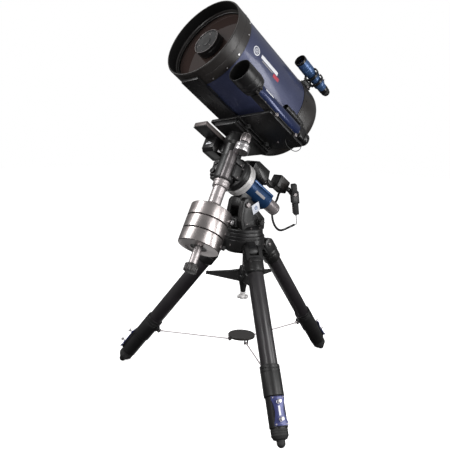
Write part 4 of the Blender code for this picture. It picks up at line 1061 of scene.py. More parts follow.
def setting_ring():
    front, back, radius = RA_RING_FRONT, RA_RING_BACK, RA_RING_RADIUS
    ring = turned([
        (radius - 0.001, front), (radius, front - 0.001), (radius, -0.087), (radius - 0.0006, -0.0876),
        (radius - 0.0006, -0.0885), (radius, -0.0891), (radius, back + 0.001), (radius - 0.001, back),
        (0.04, back), (0.04, front),
    ], 144, 0.0005, closed=True)
    piece("scale_ring", "ra_ring", RING_GREY, POLAR, [ring], ["ra_setting_ring"])
    marks = []
    for i in range(144):
        around = math.tau * radius * i / 144
        low = -0.101 if i % 6 else -0.106
        marks += bar_cells(around - 0.0003, around + 0.0003, low, -0.0925, 1)
    piece("scale_marks", "ra_ring", BLACK_SMOOTH, POLAR, [printed(marks, radius, 0.0001)])


def ra_body():
    top, end, radius = RA_RING_BACK - GAP, RA_BODY_END, RA_BODY_RADIUS
    barrel = turned([
        (0, top), (0.05, top), (radius, top - 0.001), (radius, -0.133), (0.05, -0.134),
        (0.05, -0.1365), (radius, -0.1375), (radius, -0.3), (0.0502, -0.3008), (0.0502, -0.3022),
        (radius, -0.303), (radius, end + 0.005), (0.046, end), (0, end),
    ], 96, 0.0008)
    strip = box((0.036, 0.02, -0.308), (0.054, 0.032, -0.15), 0.003)
    piece("ra_barrel", "latitude", DEEP_BLUE, POLAR, [barrel], ["ra_housing"])
    piece("ra_strip", "latitude", BRIGHT_BLUE, POLAR, [strip])
    lug = [(0.205, -0.034), (0.13, -0.034), (0.14, -0.099), (0.149, -0.119), (0.169, -0.127), (0.189, -0.119),
           (0.198, -0.099)]
    cheek = prism(lug, 0.054, ACROSS, 0.0015, 0.006)
    piece("ra_lug", "latitude", BLACK, POLAR, [cheek])
    marks = printed(bar_cells(-0.0065, 0.0065, -0.262, -0.188, 4), radius)
    piece("ra_mark", "latitude", GREY_INK, POLAR @ at(rz=-14.0), [marks])
    cap = turned([
        (0, end - GAP), (0.033, end - GAP), (0.033, end - 0.006), (0.0318, end - 0.007),
        (0.0318, end - 0.009),
        (0.033, end - 0.01), (0.033, -0.392), (0.032, -0.394), (0.032, -0.396), (0.033, -0.398),
        (0.033, -0.402), (0.031, -0.41), (0.025, -0.414), (0.012, -0.414), (0.011, -0.412), (0, -0.412),
    ], 96, 0.0008)
    piece("polar_cap", "latitude", CAP_METAL, POLAR, [cap], ["ra_rear_cap"])


def ra_drive():
    side = [(-z, y) for z, y in ((-0.119, 0.0525), (-0.246, 0.0525), (-0.252, 0.07), (-0.232, 0.127),
                                 (-0.14, 0.127), (-0.119, 0.108))]
    cover = prism(side, 0.088, at(x=-0.01) @ ACROSS, 0.003, 0.002)
    piece("ra_drive_cover", "latitude", BLACK_SMOOTH, POLAR, [cover], ["ra_motor_cover"])
    seat = [box((-0.04, 0.04, -0.244), (0.02, 0.056, -0.124), 0.003)]
    piece("ra_drive_seat", "latitude", BLACK, POLAR, seat)
    screws = [screw((x, 0.1268, z), (0, 1, 0), 0.003, 0.0018) for x in (-0.046, 0.026)
              for z in (-0.15, -0.222)]
    screws += [screw((0.0338, y, z), (1, 0, 0), 0.0026, 0.0016) for y, z in ((0.066, -0.13), (0.066, -0.236))]
    piece("ra_drive_screws", "latitude", STEEL_FINE, POLAR, screws)


def control_panel():
    case = box((-0.018, 0.088, -0.392), (0.042, 0.155, -0.31), 0.006, segments=4)
    arm = box((-0.016, 0.078, -0.325), (0.016, 0.1, -0.2525), 0.003)
    piece("panel_case", "latitude", BLACK, POLAR, [case, arm], ["panel_box"])
    face = box((-0.01, 0.096, -0.3928), (0.034, 0.148, -0.3916), 0.0005)
    piece("panel_face", "latitude", PLATE_GREY, POLAR, [face])
    side = box((0.0416, 0.098, -0.386), (0.0428, 0.149, -0.318), 0.0005)
    piece("panel_side", "latitude", CHARCOAL, POLAR, [side])
    sockets = []
    for y in (0.106, 0.122, 0.138):
        sockets.append(box((-0.004, y - 0.005, -0.394), (0.008, y + 0.005, -0.3924), 0.0006))
    for y in (0.11, 0.13):
        sockets.append(tube_wall(0.005, 0.0028, 0, 0.0016, 24, 0.0003, at(0.022, y, -0.3942)))
    piece("panel_sockets", "latitude", BLACK_SMOOTH, POLAR, sockets)
    screws = [screw((0.0426, y, z), (1, 0, 0), 0.0022, 0.0012) for y in (0.102, 0.145)
              for z in (-0.382, -0.322)]
    piece("panel_screws", "latitude", STEEL_FINE, POLAR, screws)
    gland = [turned([(0, 0), (0.0085, 0), (0.0085, 0.003), (0.0078, 0.004), (0, 0.004)], 32, 0.0006,
                    place=between((0.0122, 0.0882, -0.376), (0.0122, 0.08, -0.376)))]
    piece("panel_gland", "latitude", RUBBER, POLAR, gland)


def handset_parts():
    half = HANDSET_HALF
    elbow = Vector((0.068, 0.104, -0.37))
    arms = [rod(0.0085, (0.0426, elbow.y, elbow.z), elbow, 32, 0.001),
            rod(0.008, elbow - Vector((0.004, 0, 0)), (0.086, 0.082, -0.416), 32, 0.001),
            turned([(0, 0.012), (0.009, 0.011), (0.0125, 0.005), (0.0125, -0.005), (0.009, -0.011),
                    (0, -0.012)], 32, 0.001, place=Matrix.Translation(elbow))]
    piece("bracket_arm", "latitude", BLACK, POLAR, arms, ["panel_box"])
    x, y, wall = half.x + 0.005, half.y + 0.005, 0.0045
    cradle = [box((-x, y - wall, -0.02), (x, y, 0.04), 0.0015),
              box((-x, -y, -0.02), (-x + wall, y, 0.04), 0.0015),
              box((x - wall, -y, -0.02), (x, y, 0.04), 0.0015),
              box((-x, -y, -0.02), (-x + 0.012, -y + wall, 0.04), 0.0015),
              box((x - 0.012, -y, -0.02), (x, -y + wall, 0.04), 0.0015)]
    piece("handset_cradle", "latitude", BLACK_SMOOTH, HANDSET, cradle)
    screw_head = [turned([(0, 0), (0.0085, 0), (0.0085, 0.003), (0.0075, 0.004), (0, 0.004)], 40, 0.0006,
                         place=between((x - 0.0002, 0.001, 0.026), (x + 0.01, 0.001, 0.026)))]
    piece("cradle_screw", "latitude", STEEL_FINE, HANDSET, screw_head)
    case = box(-half, half, 0.006, segments=5)
    piece("handset_case", "latitude", RUBBER, HANDSET, [case], ["handset"])
    display = box((-0.02, -half.y - 0.0006, 0.044), (0.02, -half.y + 0.001, 0.066), 0.0005)
    piece("handset_display", "latitude", LENS_GLASS, HANDSET, [display])
    frame_ring = [box((-0.023, -half.y - 0.0004, 0.041), (0.023, -half.y + 0.001, 0.069), 0.0005)]
    piece("handset_bezel", "latitude", CHARCOAL, HANDSET, frame_ring)
    keys = []
    for row in range(5):
        for column in range(3):
            centre = Vector((-0.016 + 0.016 * column, -half.y - 0.0004, -0.03 - 0.0095 * row))
            size = Vector((0.0055, 0.0012, 0.0032))
            keys.append(box(centre - size, centre + size, 0.001, segments=2))
    piece("handset_keys", "latitude", PLATE_GREY, HANDSET, keys)
    ribs = [box((half.x - 0.001, -0.009, z), (half.x + 0.0012, 0.009, z + 0.0018), 0.0005)
            for z in (-0.072, -0.068, -0.064, -0.06, -0.056, -0.052, -0.048, -0.044, -0.04, -0.036)]
    piece("handset_grip_ribs", "latitude", RUBBER, HANDSET, ribs)
    relief = [turned([(0, 0.0), (0.0042, 0.0), (0.0032, -0.0095), (0.0022, -0.0095), (0.0022, -0.011),
                      (0, -0.011)], 24, 0.0004, place=at(z=-half.z + 0.002))]
    piece("handset_strain_relief", "latitude", RUBBER, HANDSET, relief)


head_casting()
dec_drive()
clutch()
counterweight_parts()
toe_saver()
setting_ring()
ra_body()
ra_drive()
control_panel()
handset_parts()

# ---- mount base -------------------------------------------------------------------------


def mount_base():
    disc = turned([
        (0, 0.802), (0.066, 0.802), (0.07, 0.8), (0.0862, 0.7895), (0.088, 0.786), (0.0885, 0.776),
        (0.0872, 0.775), (0.0872, 0.772), (0.0888, 0.771), (0.09, 0.761), (0.09, HEAD_TOP), (0, HEAD_TOP),
    ], 128, 0.0015)
    side = [
        (-0.068, 0.78), (0.082, 0.78), (0.082, 0.835), (0.02, 0.893), (-0.015, 0.932),
        (-0.034, 0.944), (-0.052, 0.942), (-0.066, 0.928), (-0.078, 0.88), (-0.082, 0.83),
    ]
    upright = at(rx=90, rz=90)
    fork = prism(side, 0.11, upright, 0.005, 0.01)
    slot = box((-0.0285, -0.2, 0.85), (0.0285, 0.2, 1.2), 0.0)
    pivot = PIVOT - STAND.translation
    bore = rod(0.0105, pivot - Vector((0.1, 0, 0)), pivot + Vector((0.1, 0, 0)), 32)
    fork = carved(fork, slot, bore)
    rim = [(-0.058, 0.806), (0.066, 0.806), (0.066, 0.828), (0.008, 0.882), (-0.024, 0.918), (-0.04, 0.926),
           (-0.054, 0.918), (-0.066, 0.876), (-0.068, 0.836)]
    piece("azimuth_disc", "azimuth", BLACK, STAND, [disc], ["mount_base"])
    piece("polar_fork", "azimuth", BLACK, STAND, [fork])
    window = [(-0.04, 0.83), (0.03, 0.83), (0.034, 0.842), (-0.01, 0.876), (-0.04, 0.872)]
    cheeks = [carved(prism(rim, 0.003, at(x=side * 0.056) @ upright, 0.0012, 0.006),
                     prism(window, 0.02, at(x=side * 0.059) @ upright, 0.0, 0.006)) for side in (1, -1)]
    piece("fork_cheek_ribs", "azimuth", BLACK, STAND, cheeks)
    front = [box((-0.026, -0.092, 0.8), (0.026, -0.07, 0.846), 0.004),
             box((-0.02, 0.076, 0.8), (0.02, 0.094, 0.838), 0.004),
             turned([(0, 0.02), (0.0125, 0.02), (0.0135, 0.0185), (0.0135, 0), (0, 0)], 40, 0.001,
                    place=between((0, -0.088, 0.824), (0, -0.12, 0.824)))]
    piece("altitude_blocks", "azimuth", BLACK, STAND, front)
    plate = [(-0.012, -0.03), (0.034, -0.008), (0.022, 0.034), (-0.026, 0.014)]
    spot = at(0.0585, 0.006, 0.889, rx=90, rz=90)
    piece("latitude_scale_plate", "azimuth", WHITE_PAINT, STAND @ spot,
          [prism(plate, 0.003, None, 0.0006, 0.003)])
    ticks = []
    for i in range(11):
        low, high = (0.015, 0.0195) if i % 5 == 0 else (0.0168, 0.0195)
        centre = Vector((0.004, 0.004, 0))
        way = heading(200.0 + 14.0 * i)
        across = Vector((-way.y, way.x, 0)) * 0.0004
        base, tip = centre + way * low, centre + way * high
        tick = [base - across, tip - across, tip + across, base + across]
        ticks.append(prism(tick, 0.0003, at(z=0.0015), 0.0))
    ticks.append(tube_wall(0.01, 0.0062, 0.00135, 0.00165, 40, 0.0001, at(0.004, 0.004)))
    ticks.append(turned([(0, 0.00165), (0.0036, 0.00165), (0.0036, 0.00135), (0, 0.00135)], 24, 0.0001,
                        place=at(0.004, 0.004)))
    piece("latitude_scale_marks", "azimuth", BRIGHT_BLUE, STAND @ spot, ticks)
    bolts = [screw(way * 0.0765 + UP * 0.7945, way * 0.45 + UP, 0.0048, 0.004)
             for way in around_axis(8, 22.5)]
    for y, z in ((-0.048, 0.818), (0.056, 0.818), (-0.036, 0.9)):
        bolts += [screw((side * 0.0573, y, z), (side, 0, 0), 0.004, 0.003) for side in (1, -1)]
    piece("base_bolts", "azimuth", STEEL_FINE, STAND, bolts)
    pin_place = Matrix.Translation(PIVOT) @ at(ry=90)
    pin = turned([
        (0, 0.067), (0.0105, 0.067), (0.0125, 0.0655), (0.013, 0.063), (0.013, 0.0577), (0.01, 0.0577),
        (0.01, -0.0577), (0.013, -0.0577), (0.013, -0.063), (0.0125, -0.0655), (0.0105, -0.067), (0, -0.067),
    ], 48, 0.0008)
    piece("latitude_pin", "azimuth", STEEL_FINE, pin_place, [pin], ["latitude_bolt"])
    stem = [rod(0.006, (0.05, 0.034, 0.82), (0.0675, 0.034, 0.82), 32),
            box((0.055, 0.02, 0.806), (0.0635, 0.048, 0.834), 0.002)]
    piece("azimuth_stem", "azimuth", BLACK, STAND, stem)
    knob_place = STAND @ at(0.068, 0.034, 0.82, ry=90)
    grip = [knob(0.017, 0.0165, 8, 0.004, at(z=0.0015), 0.002),
            turned([(0, 0.0198), (0.0095, 0.0198), (0.0115, 0.0178), (0, 0.0178)], 40, 0.0006)]
    piece("azimuth_grip", "azimuth_knob", RUBBER, knob_place, grip, ["azimuth_knob"])


# ---- tripod --------------------------------------------------------------------------------


def tripod_head():
    top = HEAD_TOP - GAP
    disc = turned([
        (0, top), (0.0955, top), (0.097, top - 0.0015), (0.097, 0.742), (0.096, 0.7408), (0.096, 0.7385),
        (0.097, 0.7373), (0.097, 0.69), (0.0945, 0.684), (0.088, 0.676), (0.06, 0.676), (0.056, 0.684),
        (0, 0.684),
    ], 128, 0.0015)
    pieces = [disc]
    lugs = []
    for angle in LEG_AZIMUTHS:
        half = 0.0215
        outline = [(0.07, 0.676), (HINGE_RADIUS - 0.002, 0.6685)]
        for i in range(13):
            turn = math.radians(-90 + 15 * i)
            outline.append((HINGE_RADIUS + 0.028 * math.cos(turn), HINGE_HEIGHT + 0.028 * math.sin(turn)))
        outline += [(0.1, 0.738), (0.07, 0.74)]
        lugs.append(prism(outline, 2 * half, at(rz=angle) @ at(rx=90), 0.0018))
    piece("head_disc", "stand", BLACK, STAND, pieces, ["tripod_head"])
    piece("head_lugs", "stand", BLACK, STAND, lugs)
    pins = []
    for angle in LEG_AZIMUTHS:
        turn = at(rz=angle) @ at(x=HINGE_RADIUS, z=HINGE_HEIGHT) @ at(rx=90)
        pins.append(turned([
            (0, 0.044), (0.006, 0.044), (0.008, 0.043), (0.008, -0.043), (0.006, -0.044), (0, -0.044),
        ], 32, 0.0005, place=turn))
    piece("hinge_pins", "stand", STEEL_FINE, STAND, pins)
    centre = turned([(0, 0.69), (0.008, 0.69), (0.008, 0.44), (0, 0.44)], 40, 0.0004)
    threads = [centre]
    for i in range(34):
        z = 0.4415 + 0.0024 * i
        ridge = [(0.0079, z + 0.0011), (0.0083, z + 0.0007), (0.0083, z + 0.0004), (0.0079, z)]
        threads.append(turned(ridge, 24, 0.0001))
    piece("centre_screw", "stand", STEEL_FINE, STAND, threads)
    bolts = [screw(way * 0.0968 + UP * 0.712, way, 0.0052, 0.0035) for way in around_axis(3, 30.0)]
    piece("head_bolts", "stand", STEEL_FINE, STAND, bolts)


def spreader():
    low = SPREADER_HEIGHT
    hub = turned([
        (0.0095, low + 0.052), (0.019, low + 0.052), (0.02, low + 0.05), (0.0238, low + 0.03),
        (0.024, low + 0.012), (0.0225, low + 0.01), (0.0225, low + 0.004), (0.024, low + 0.002),
        (0.024, low - 0.025), (0.0215, low - 0.032), (0.014, low - 0.07), (0.014, low - 0.076),
        (0.012, low - 0.082), (0.0095, low - 0.082),
    ], 64, 0.001, closed=True)
    piece("spreader_cone", "spreader", BLACK, STAND, [hub], ["spreader_hub"])
    arms = []
    for angle in LEG_AZIMUTHS:
        arm = [(0.018, low - 0.028), (0.195, low - 0.008), (0.195, low + 0.004), (0.07, low + 0.022),
               (0.018, low + 0.034)]
        web = [(0.02, low - 0.023), (0.19, low - 0.005), (0.19, low + 0.001), (0.07, low + 0.017),
               (0.02, low + 0.028)]
        turn = at(rz=angle) @ at(rx=90)
        solid = prism(arm, 0.02, turn, 0.0015)
        sides = [prism(web, 0.006, turn @ at(z=offset), 0.0) for offset in (0.0095, -0.0095)]
        arms.append(carved(solid, *sides))
        arms.append(prism([(0.188, low - 0.0095), (0.1955, low - 0.0095), (0.1955, low + 0.0055),
                           (0.188, low + 0.0055)], 0.0212, turn, 0.0015))
    piece("spreader_arms", "spreader", BLACK, STAND, arms)


def tension():
    place = STAND @ at(z=TENSION_KNOB_HEIGHT)
    grip = knob(0.029, 0.016, 6, 0.008, None, 0.003)
    grip = carved(grip, rod(0.0085, (0, 0, -0.1), (0, 0, 0.1), 32))
    grip.transform(at(z=-0.008))
    boss = turned([(0.0085, 0.0243), (0.0125, 0.0243), (0.014, 0.0225), (0.014, 0.0065), (0.0085, 0.0065)],
                  48, 0.0006, closed=True)
    piece("tension_grip", "tension_knob", RING_GREY, place, [grip, boss], ["tension_knob"])


def tray():
    low = TRAY_HEIGHT
    reach, height = TRAY_PIN
    plate = turned([
        (0, low + 0.0108), (0.062, low + 0.0108), (0.063, low + 0.012), (0.067, low + 0.012),
        (0.068, low + 0.011), (0.068, low + 0.001), (0.067, low), (0.06, low), (0.059, low + 0.0015),
        (0, low + 0.0015),
    ], 128, 0.0008)
    piece("tray_plate", "brace_tray", CHARCOAL, STAND, [plate], ["brace_tray"])
    ears, pins = [], []
    for angle in LEG_AZIMUTHS:
        turn = at(rz=angle)
        for side in (-1, 1):
            beside = BRACE_SIDE + side * 0.007
            outline = [(0.048, low + 0.003), (0.064, low + 0.003), (0.064, height)]
            for i in range(7):
                bend = math.radians(-30 * i)
                outline.append((reach + 0.008 * math.cos(bend), height + 0.008 * math.sin(bend)))
            ears.append(prism(outline, 0.004, turn @ at(y=beside) @ at(rx=90), 0.0005))
            start, end = ((reach, beside + side * y, height) for y in (0.0018, 0.0042))
            pins.append(rod(0.0035, start, end, 20))
            pins[-1].transform(turn)
    middle = [(0, low + 0.002), (0.02, low + 0.002), (0.018, low - 0.004), (0, low - 0.004)]
    ears.append(turned(middle, 48, 0.001))
    piece("tray_ears", "brace_tray", BLACK, STAND, ears)
    piece("tray_pins", "brace_tray", STEEL_FINE, STAND, pins)


def leg(number):
    place = leg_frame(number)
    body, lower = f"leg_{number}", f"leg_{number}_extension"
    tube = turned([
        (0.0375, -0.112), (0.0375, -0.599), (0.0372, -0.6), (0.0345, -0.6), (0.0345, -0.125), (0, -0.125),
        (0, -0.112),
    ], 96, 0.0004)
    piece(f"{body}_barrel", body, LEG_BLACK, place, [tube], [f"{body}_tube"])
    sleeve = turned([
        (0, -0.0458), (0.04, -0.0458), (0.042, -0.047), (0.045, -0.0515), (0.0455, -0.053), (0.0455, -0.064),
        (0.0444, -0.0652), (0.0444, -0.0678), (0.0455, -0.069), (0.0455, -0.106), (0.0446, -0.109),
        (0.0385, -0.116), (0.0375, -0.1165), (0.037, -0.1175), (0, -0.1175),
    ], 96, 0.0012)
    half = 0.04
    outline = []
    for i in range(17):
        turn = math.radians(180 - 11.25 * i)
        outline.append((0.031 * math.cos(turn), 0.031 * math.sin(turn)))
    outline += [(0.031, -0.058), (-0.031, -0.058)]
    yoke = prism(outline, 2 * half, at(rx=90), 0.0025)
    slot = 0.0223
    cut_slot = box((-0.1, -slot, -0.0335), (0.1, slot, 0.1), 0.0)
    bore = rod(0.0085, (0, -0.05, 0), (0, 0.05, 0), 32)
    yoke = carved(yoke, cut_slot, bore)
    bosses = [tube_wall(0.015, 0.0088, 0, 0.0022, 40, 0.0006,
                        at(y=side * (half - 0.0004)) @ at(rx=-90 * side))
              for side in (-1, 1)]
    piece(f"{body}_yoke", body, BLACK, place, [sleeve, yoke, *bosses])
    collar = turned([
        (0.0428, -0.543), (0.0435, -0.544), (0.0435, -0.556), (0.0424, -0.557), (0.0424, -0.56),
        (0.0435, -0.561), (0.0435, -0.57), (0.0424, -0.571), (0.0424, -0.574), (0.0435, -0.575),
        (0.0435, -0.6715), (0.0426, -0.673), (0.039, -0.676), (0.039, -0.7985), (0.038, -0.8), (0.0345, -0.8),
        (0.0345, -0.6003), (0.0378, -0.6003), (0.0378, -0.543),
    ], 96, 0.0006, closed=True)
    ears = []
    for side in (-1, 1):
        beside = BRACE_SIDE + side * 0.007
        ears.append(box((-0.066, beside - 0.002, -0.586), (-0.04, beside + 0.002, -0.57), 0.0008))
    ears.append(box((-0.05, -0.002, -0.592), (-0.0415, 0.022, -0.564), 0.0015))
    bulge, seat = (carved(block, rod(0.036, (0, 0, -0.9), (0, 0, -0.5), 64)) for block in (
        box((0.03, -0.024, -0.796), (0.04, 0.024, -0.68), 0.002),
        box((0.034, -0.02, -0.797), (0.0424, 0.02, -0.679), 0.0015)))
    piece(f"{body}_socket", body, BLACK, place, [collar, *ears, seat, bulge],
          [f"{body}_collar"])
    x, z = BRACE_PIN
    pins = [rod(0.004, (x, start, z), (x, end, z), 20)
            for start, end in ((0.0152, 0.0205), (0.0048, -0.0005))]
    piece(f"{body}_brace_pin", body, STEEL_FINE, place, pins)
    low, high = -0.797, -0.679
    middle = (low + high) / 2
    outline = []
    for side in (1, -1):
        for step in range(25):
            along = side * (1 - step / 12) * (high - low) / 2
            waist = 0.02 + 0.009 * min(1.0, (abs(along) / 0.045) ** 2)
            outline.append((side * waist, middle + along))
    seat = 0.0423 + 0.003 + GAP
    plate = prism(outline, 0.006, at(x=seat, rx=90, rz=90), 0.0014)
    piece(f"{body}_clamp_plate", body, CLAMP_BLUE, place, [plate], [f"{body}_clamp"])
    mark = [box((seat + 0.0029, -0.004, middle - 0.02), (seat + 0.0032, 0.004, middle + 0.02), 0.0)]
    piece(f"{body}_clamp_mark", body, WHITE_INK, place, mark)
    knobs, bolts = [], []
    for down in (0.703, 0.773):
        foot = Vector((seat + 0.0028, 0, -down))
        washer = [(0, 0.003), (0.007, 0.003), (0.0085, 0.0022), (0.0085, 0), (0, 0)]
        knobs += [turned(washer, 32, 0.0005, place=between(foot, foot + EAST)),
                  *thumb_screw(foot, EAST, (0.004, 0, 0.014, 24),
                               (0.0085, 0.011, 18, 0.0009, 0.0122), 0.0012)]
    for y in (-0.0225, 0.0225):
        for z in (-0.7915, -0.6845):
            bolts.append(screw((seat + 0.0028, y, z), (1, 0, 0), 0.0028, 0.002))
    piece(f"{body}_clamp_knobs", body, CHROME, place, knobs)
    piece(f"{body}_clamp_screws", body, STEEL_FINE, place, bolts)
    inner = tube_wall(0.033, 0.03, -0.803, -0.3005, 72, 0.0005)
    piece(f"{body}_inner_tube", lower, LEG_BLACK, place, [inner], [lower])
    ball = 0.018
    centre = (HINGE_HEIGHT - ball) / math.cos(LEG_LEAN)
    top = -0.803 - GAP
    profile = [
        (0, top), (0.0355, top), (0.0365, top - 0.001), (0.0365, top - 0.008), (0.0355, top - 0.009),
        (0.0355, top - 0.011), (0.0365, top - 0.012), (0.0365, top - 0.018), (0.0355, top - 0.019),
        (0.0355, top - 0.021), (0.0365, top - 0.022), (0.0365, top - 0.027), (0.029, top - 0.04),
        (ball, top - 0.044),
    ]
    for i in range(13):
        angle = math.radians(7.5 * i)
        profile.append((ball * math.cos(angle), -centre - ball * math.sin(angle)))
    piece(f"{body}_rubber_foot", lower, RUBBER, place, [turned(profile, 72, 0.0008)],
          [f"{body}_foot"])
    brace(number, place)


def brace(number, place):
    outer = Vector((BRACE_PIN[0], BRACE_SIDE, BRACE_PIN[1]))
    level = Matrix.Rotation(LEG_LEAN, 3, "Y")
    inner = level @ Vector((TRAY_PIN[0] - HINGE_RADIUS, BRACE_SIDE, TRAY_PIN[1] - HINGE_HEIGHT))
    way = (inner - outer).normalized()
    parts = [rod(0.0035, outer + way * 0.006, inner - way * 0.006, 24)]
    for spot, along in ((outer, way), (inner, -way)):
        parts.append(tube_wall(0.0062, 0.003, -0.004, 0.004, 32, 0.0006,
                               Matrix.Translation(spot) @ at(rx=90)))
        ferrule = [(0, 0.02), (0.0038, 0.02), (0.0045, 0.018), (0.0045, 0.006), (0, 0.006)]
        parts.append(turned(ferrule, 32, 0.0006, place=between(spot, spot + along)))
    piece(f"brace_link_{number}", f"brace_rod_{number}", ROD_STEEL, place, parts,
          [f"brace_rod_{number}"])


# ---- cords ---------------------------------------------------------------------------------

CORD_RADIUS = 0.0018
COIL_WIRE = 0.0018
COIL_PITCH = 0.0043
COIL_CENTRE = 0.0043  # radius of the coil's wire centre
COIL_ROUTE = (
    (0.0122, 0.086, -0.376), (0.0122, 0.074, -0.376), (-0.008, 0.056, -0.402), (-0.036, 0.028, -0.43),
    (-0.044, -0.004, -0.45), (-0.026, -0.04, -0.458), (0.012, -0.074, -0.46), (0.054, -0.086, -0.458),
    (0.09, -0.058, -0.466), (0.105, -0.03, -0.482),
)
GUIDE_CABLE_ROUTE = (
    (0.215, -0.2388, -0.09), (0.215, -0.25, -0.092), (0.22, -0.266, -0.115), (0.23, -0.262, -0.16),
    (0.238, -0.235, -0.182), (0.24, -0.206, -0.172), (0.24, -0.2, -0.1535),
)


def path_length(points):
    return sum((Vector(b) - Vector(a)).length for a, b in zip(points, points[1:]))


def wire(name, body, points, radius, look):
    curve = bpy.data.curves.new(name, "CURVE")
    curve.dimensions = "3D"
    curve.bevel_depth = radius
    curve.bevel_resolution = 3
    curve.use_fill_caps = True
    spline = curve.splines.new("POLY")
    spline.points.add(len(points) - 1)
    for point, spot in zip(spline.points, points):
        point.co = (*spot, 1.0)
    spline.use_smooth = True
    curve.materials.append(look)
    made = bpy.data.objects.new(name, curve)
    bpy.context.scene.collection.objects.link(made)
    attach(made, body)
    return made


def coiled(route):
    """A helix round the route's curve, closing to its line at both ends."""
    line = smooth_line(route, 24)
    total = path_length(line)
    points = []
    side = Vector((0, 0, 1))
    travelled = 0.0
    for here, ahead in zip(line, line[1:]):
        step = ahead - here
        along = step.normalized()
        side = (side - along * side.dot(along)).normalized()
        other = along.cross(side)
        count = max(2, round(step.length / COIL_PITCH * 14))
        for i in range(count):
            s = travelled + step.length * i / count
            ease = min(1.0, s / 0.007, (total - s) / 0.007)
            reach = COIL_CENTRE * ease * ease * (3 - 2 * ease)
            turn = math.tau * s / COIL_PITCH
            spot = here + step * (i / count)
            points.append(spot + side * reach * math.cos(turn) + other * reach * math.sin(turn))
        travelled += step.length
    points.append(line[-1])
    return points


def cords():
    start = Vector(COIL_ROUTE[-1])
    ahead = (start - Vector(COIL_ROUTE[-2])).normalized()
    to_polar = POLAR.inverted() @ HANDSET
    top, below = (to_polar @ Vector((0, 0, -HANDSET_HALF.z - drop)) for drop in (0.0004, 0.01))
    lead = smooth_line((start, start + ahead * 0.007, below, top), 12)
    points = [POLAR @ point for point in coiled(COIL_ROUTE) + lead[1:]]
    curly = wire("handset_curly_cord", "latitude", points, COIL_WIRE, RUBBER)
    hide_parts("handset_cord", "handset_lead")
    points = [OPTICS @ point for point in smooth_line(GUIDE_CABLE_ROUTE, 12)]
    loop = wire("guide_loop_cable", "optics", points, CORD_RADIUS, RUBBER)
    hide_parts("guide_cable")


mount_base()
tripod_head()
spreader()
tension()
tray()
for leg_number in (1, 2, 3):
    leg(leg_number)
cords()

# ---- camera, floor and light ----------------------------------------------------------------

SENSOR_WIDTH = 36.0  # mm
FOCAL_LENGTH = 46.56  # mm
CAMERA_SPOT = (1.9926, -2.1237, 1.2651)
CAMERA_ANGLES = (46.835, 9.383, 1.5675)  # degrees to the left, down and rolled
LIGHTS = (  # name, spot, aim, width, height, watts
    ("key", (-1.6, -2.6, 3.2), (0, -0.1, 1.0), 1.2, 2.2, 85),
    ("side", (3.5, -0.2, 2.0), (0, -0.1, 1.0), 1.2, 2.6, 80),
    ("rim", (3.1, 1.8, 1.0), (0, -0.1, 1.1), 0.8, 2.0, 44),
    ("front", (1.0, -3.6, 1.6), (0, -0.1, 0.9), 0.4, 2.0, 30),
    ("under", (-0.95, 0.05, -0.35), (0.06, -0.45, 0.75), 0.9, 0.9, 1.6),
    ("low", (2.6, -1.6, 0.5), (0, -0.1, 0.9), 0.8, 0.8, 12),
)


def camera():
    data = bpy.data.cameras.new("camera")
    data.sensor_width = SENSOR_WIDTH
    data.lens = FOCAL_LENGTH
    data.clip_end = 60.0
    yaw, pitch, roll = (math.radians(angle) for angle in CAMERA_ANGLES)
    forward = Vector((-math.sin(yaw) * math.cos(pitch), math.cos(yaw) * math.cos(pitch), -math.sin(pitch)))
    right = Vector((math.cos(yaw), math.sin(yaw), 0))
    up = right.cross(forward)
    level = Matrix((right * math.cos(roll) + up * math.sin(roll),
                    up * math.cos(roll) - right * math.sin(roll),
                    -forward)).transposed().to_4x4()
    made = bpy.data.objects.new("camera", data)
    made.matrix_world = Matrix.Translation(CAMERA_SPOT) @ level
    bpy.context.scene.collection.objects.link(made)
    bpy.context.scene.camera = made
    return made


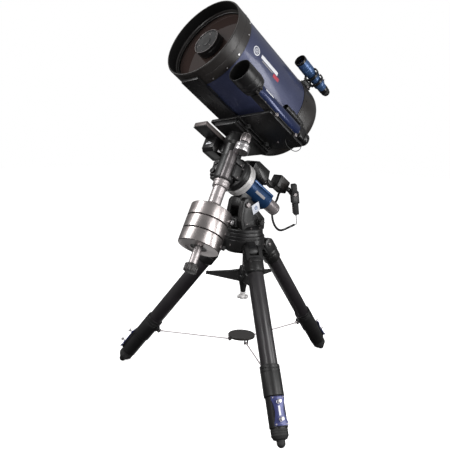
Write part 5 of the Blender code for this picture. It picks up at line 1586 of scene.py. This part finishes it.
def floor():
    shape = bmesh.new()
    bmesh.ops.create_grid(shape, x_segments=2, y_segments=2, size=14.0)
    mesh = bpy.data.meshes.new("floor")
    shape.to_mesh(mesh)
    shape.free()
    look = Look("floor_white", 0.9, 0.0)
    place = look.node("TexCoord").outputs["Object"]
    tone = look.spread(look.noise(place, 0.7, 2.0), 0.0, 1.0)
    look.link(look.blend(tone, (0.9, 0.9, 0.9), (0.93, 0.93, 0.93)), look.shader.inputs["Base Color"])
    look.set("Specular IOR Level", 0.0)
    look.set("Emission Color", (1.0, 1.0, 1.0, 1.0))
    look.set("Emission Strength", 0.8)
    mesh.materials.append(look.material)
    made = bpy.data.objects.new("floor", mesh)
    made.location.z = -0.0005
    made.visible_diffuse = False
    made.visible_glossy = False
    made.visible_shadow = False
    bpy.context.scene.collection.objects.link(made)


def soft_light(name, spot, aim, width, height, power):
    data = bpy.data.lights.new(name, "AREA")
    data.shape = "RECTANGLE"
    data.size, data.size_y = width, height
    data.energy = power
    made = bpy.data.objects.new(name, data)
    made.location = spot
    made.rotation_euler = (Vector(aim) - Vector(spot)).to_track_quat("-Z", "Y").to_euler()
    bpy.context.scene.collection.objects.link(made)


def world():
    made = bpy.data.worlds.new("studio")
    made.use_nodes = True
    tree = made.node_tree
    background = tree.nodes["Background"]
    background.inputs["Color"].default_value = (1.0, 1.0, 1.0, 1.0)
    apart = tree.nodes.new("ShaderNodeSeparateXYZ")
    tree.links.new(tree.nodes.new("ShaderNodeTexCoord").outputs["Generated"], apart.inputs[0])
    height = tree.nodes.new("ShaderNodeMapRange")
    for socket, number in (("From Min", -0.5), ("From Max", 0.9), ("To Min", 0.02), ("To Max", 0.42)):
        height.inputs[socket].default_value = number
    tree.links.new(apart.outputs["Z"], height.inputs["Value"])
    path = tree.nodes.new("ShaderNodeLightPath")
    mix = tree.nodes.new("ShaderNodeMix")
    mix.inputs["B"].default_value = 1.0
    tree.links.new(path.outputs["Is Camera Ray"], mix.inputs["Factor"])
    tree.links.new(height.outputs["Result"], mix.inputs["A"])
    tree.links.new(mix.outputs["Result"], background.inputs["Strength"])
    bpy.context.scene.world = made


camera()
floor()
world()
for light in LIGHTS:
    soft_light(*light)
bpy.context.scene.view_settings.view_transform = "Standard"
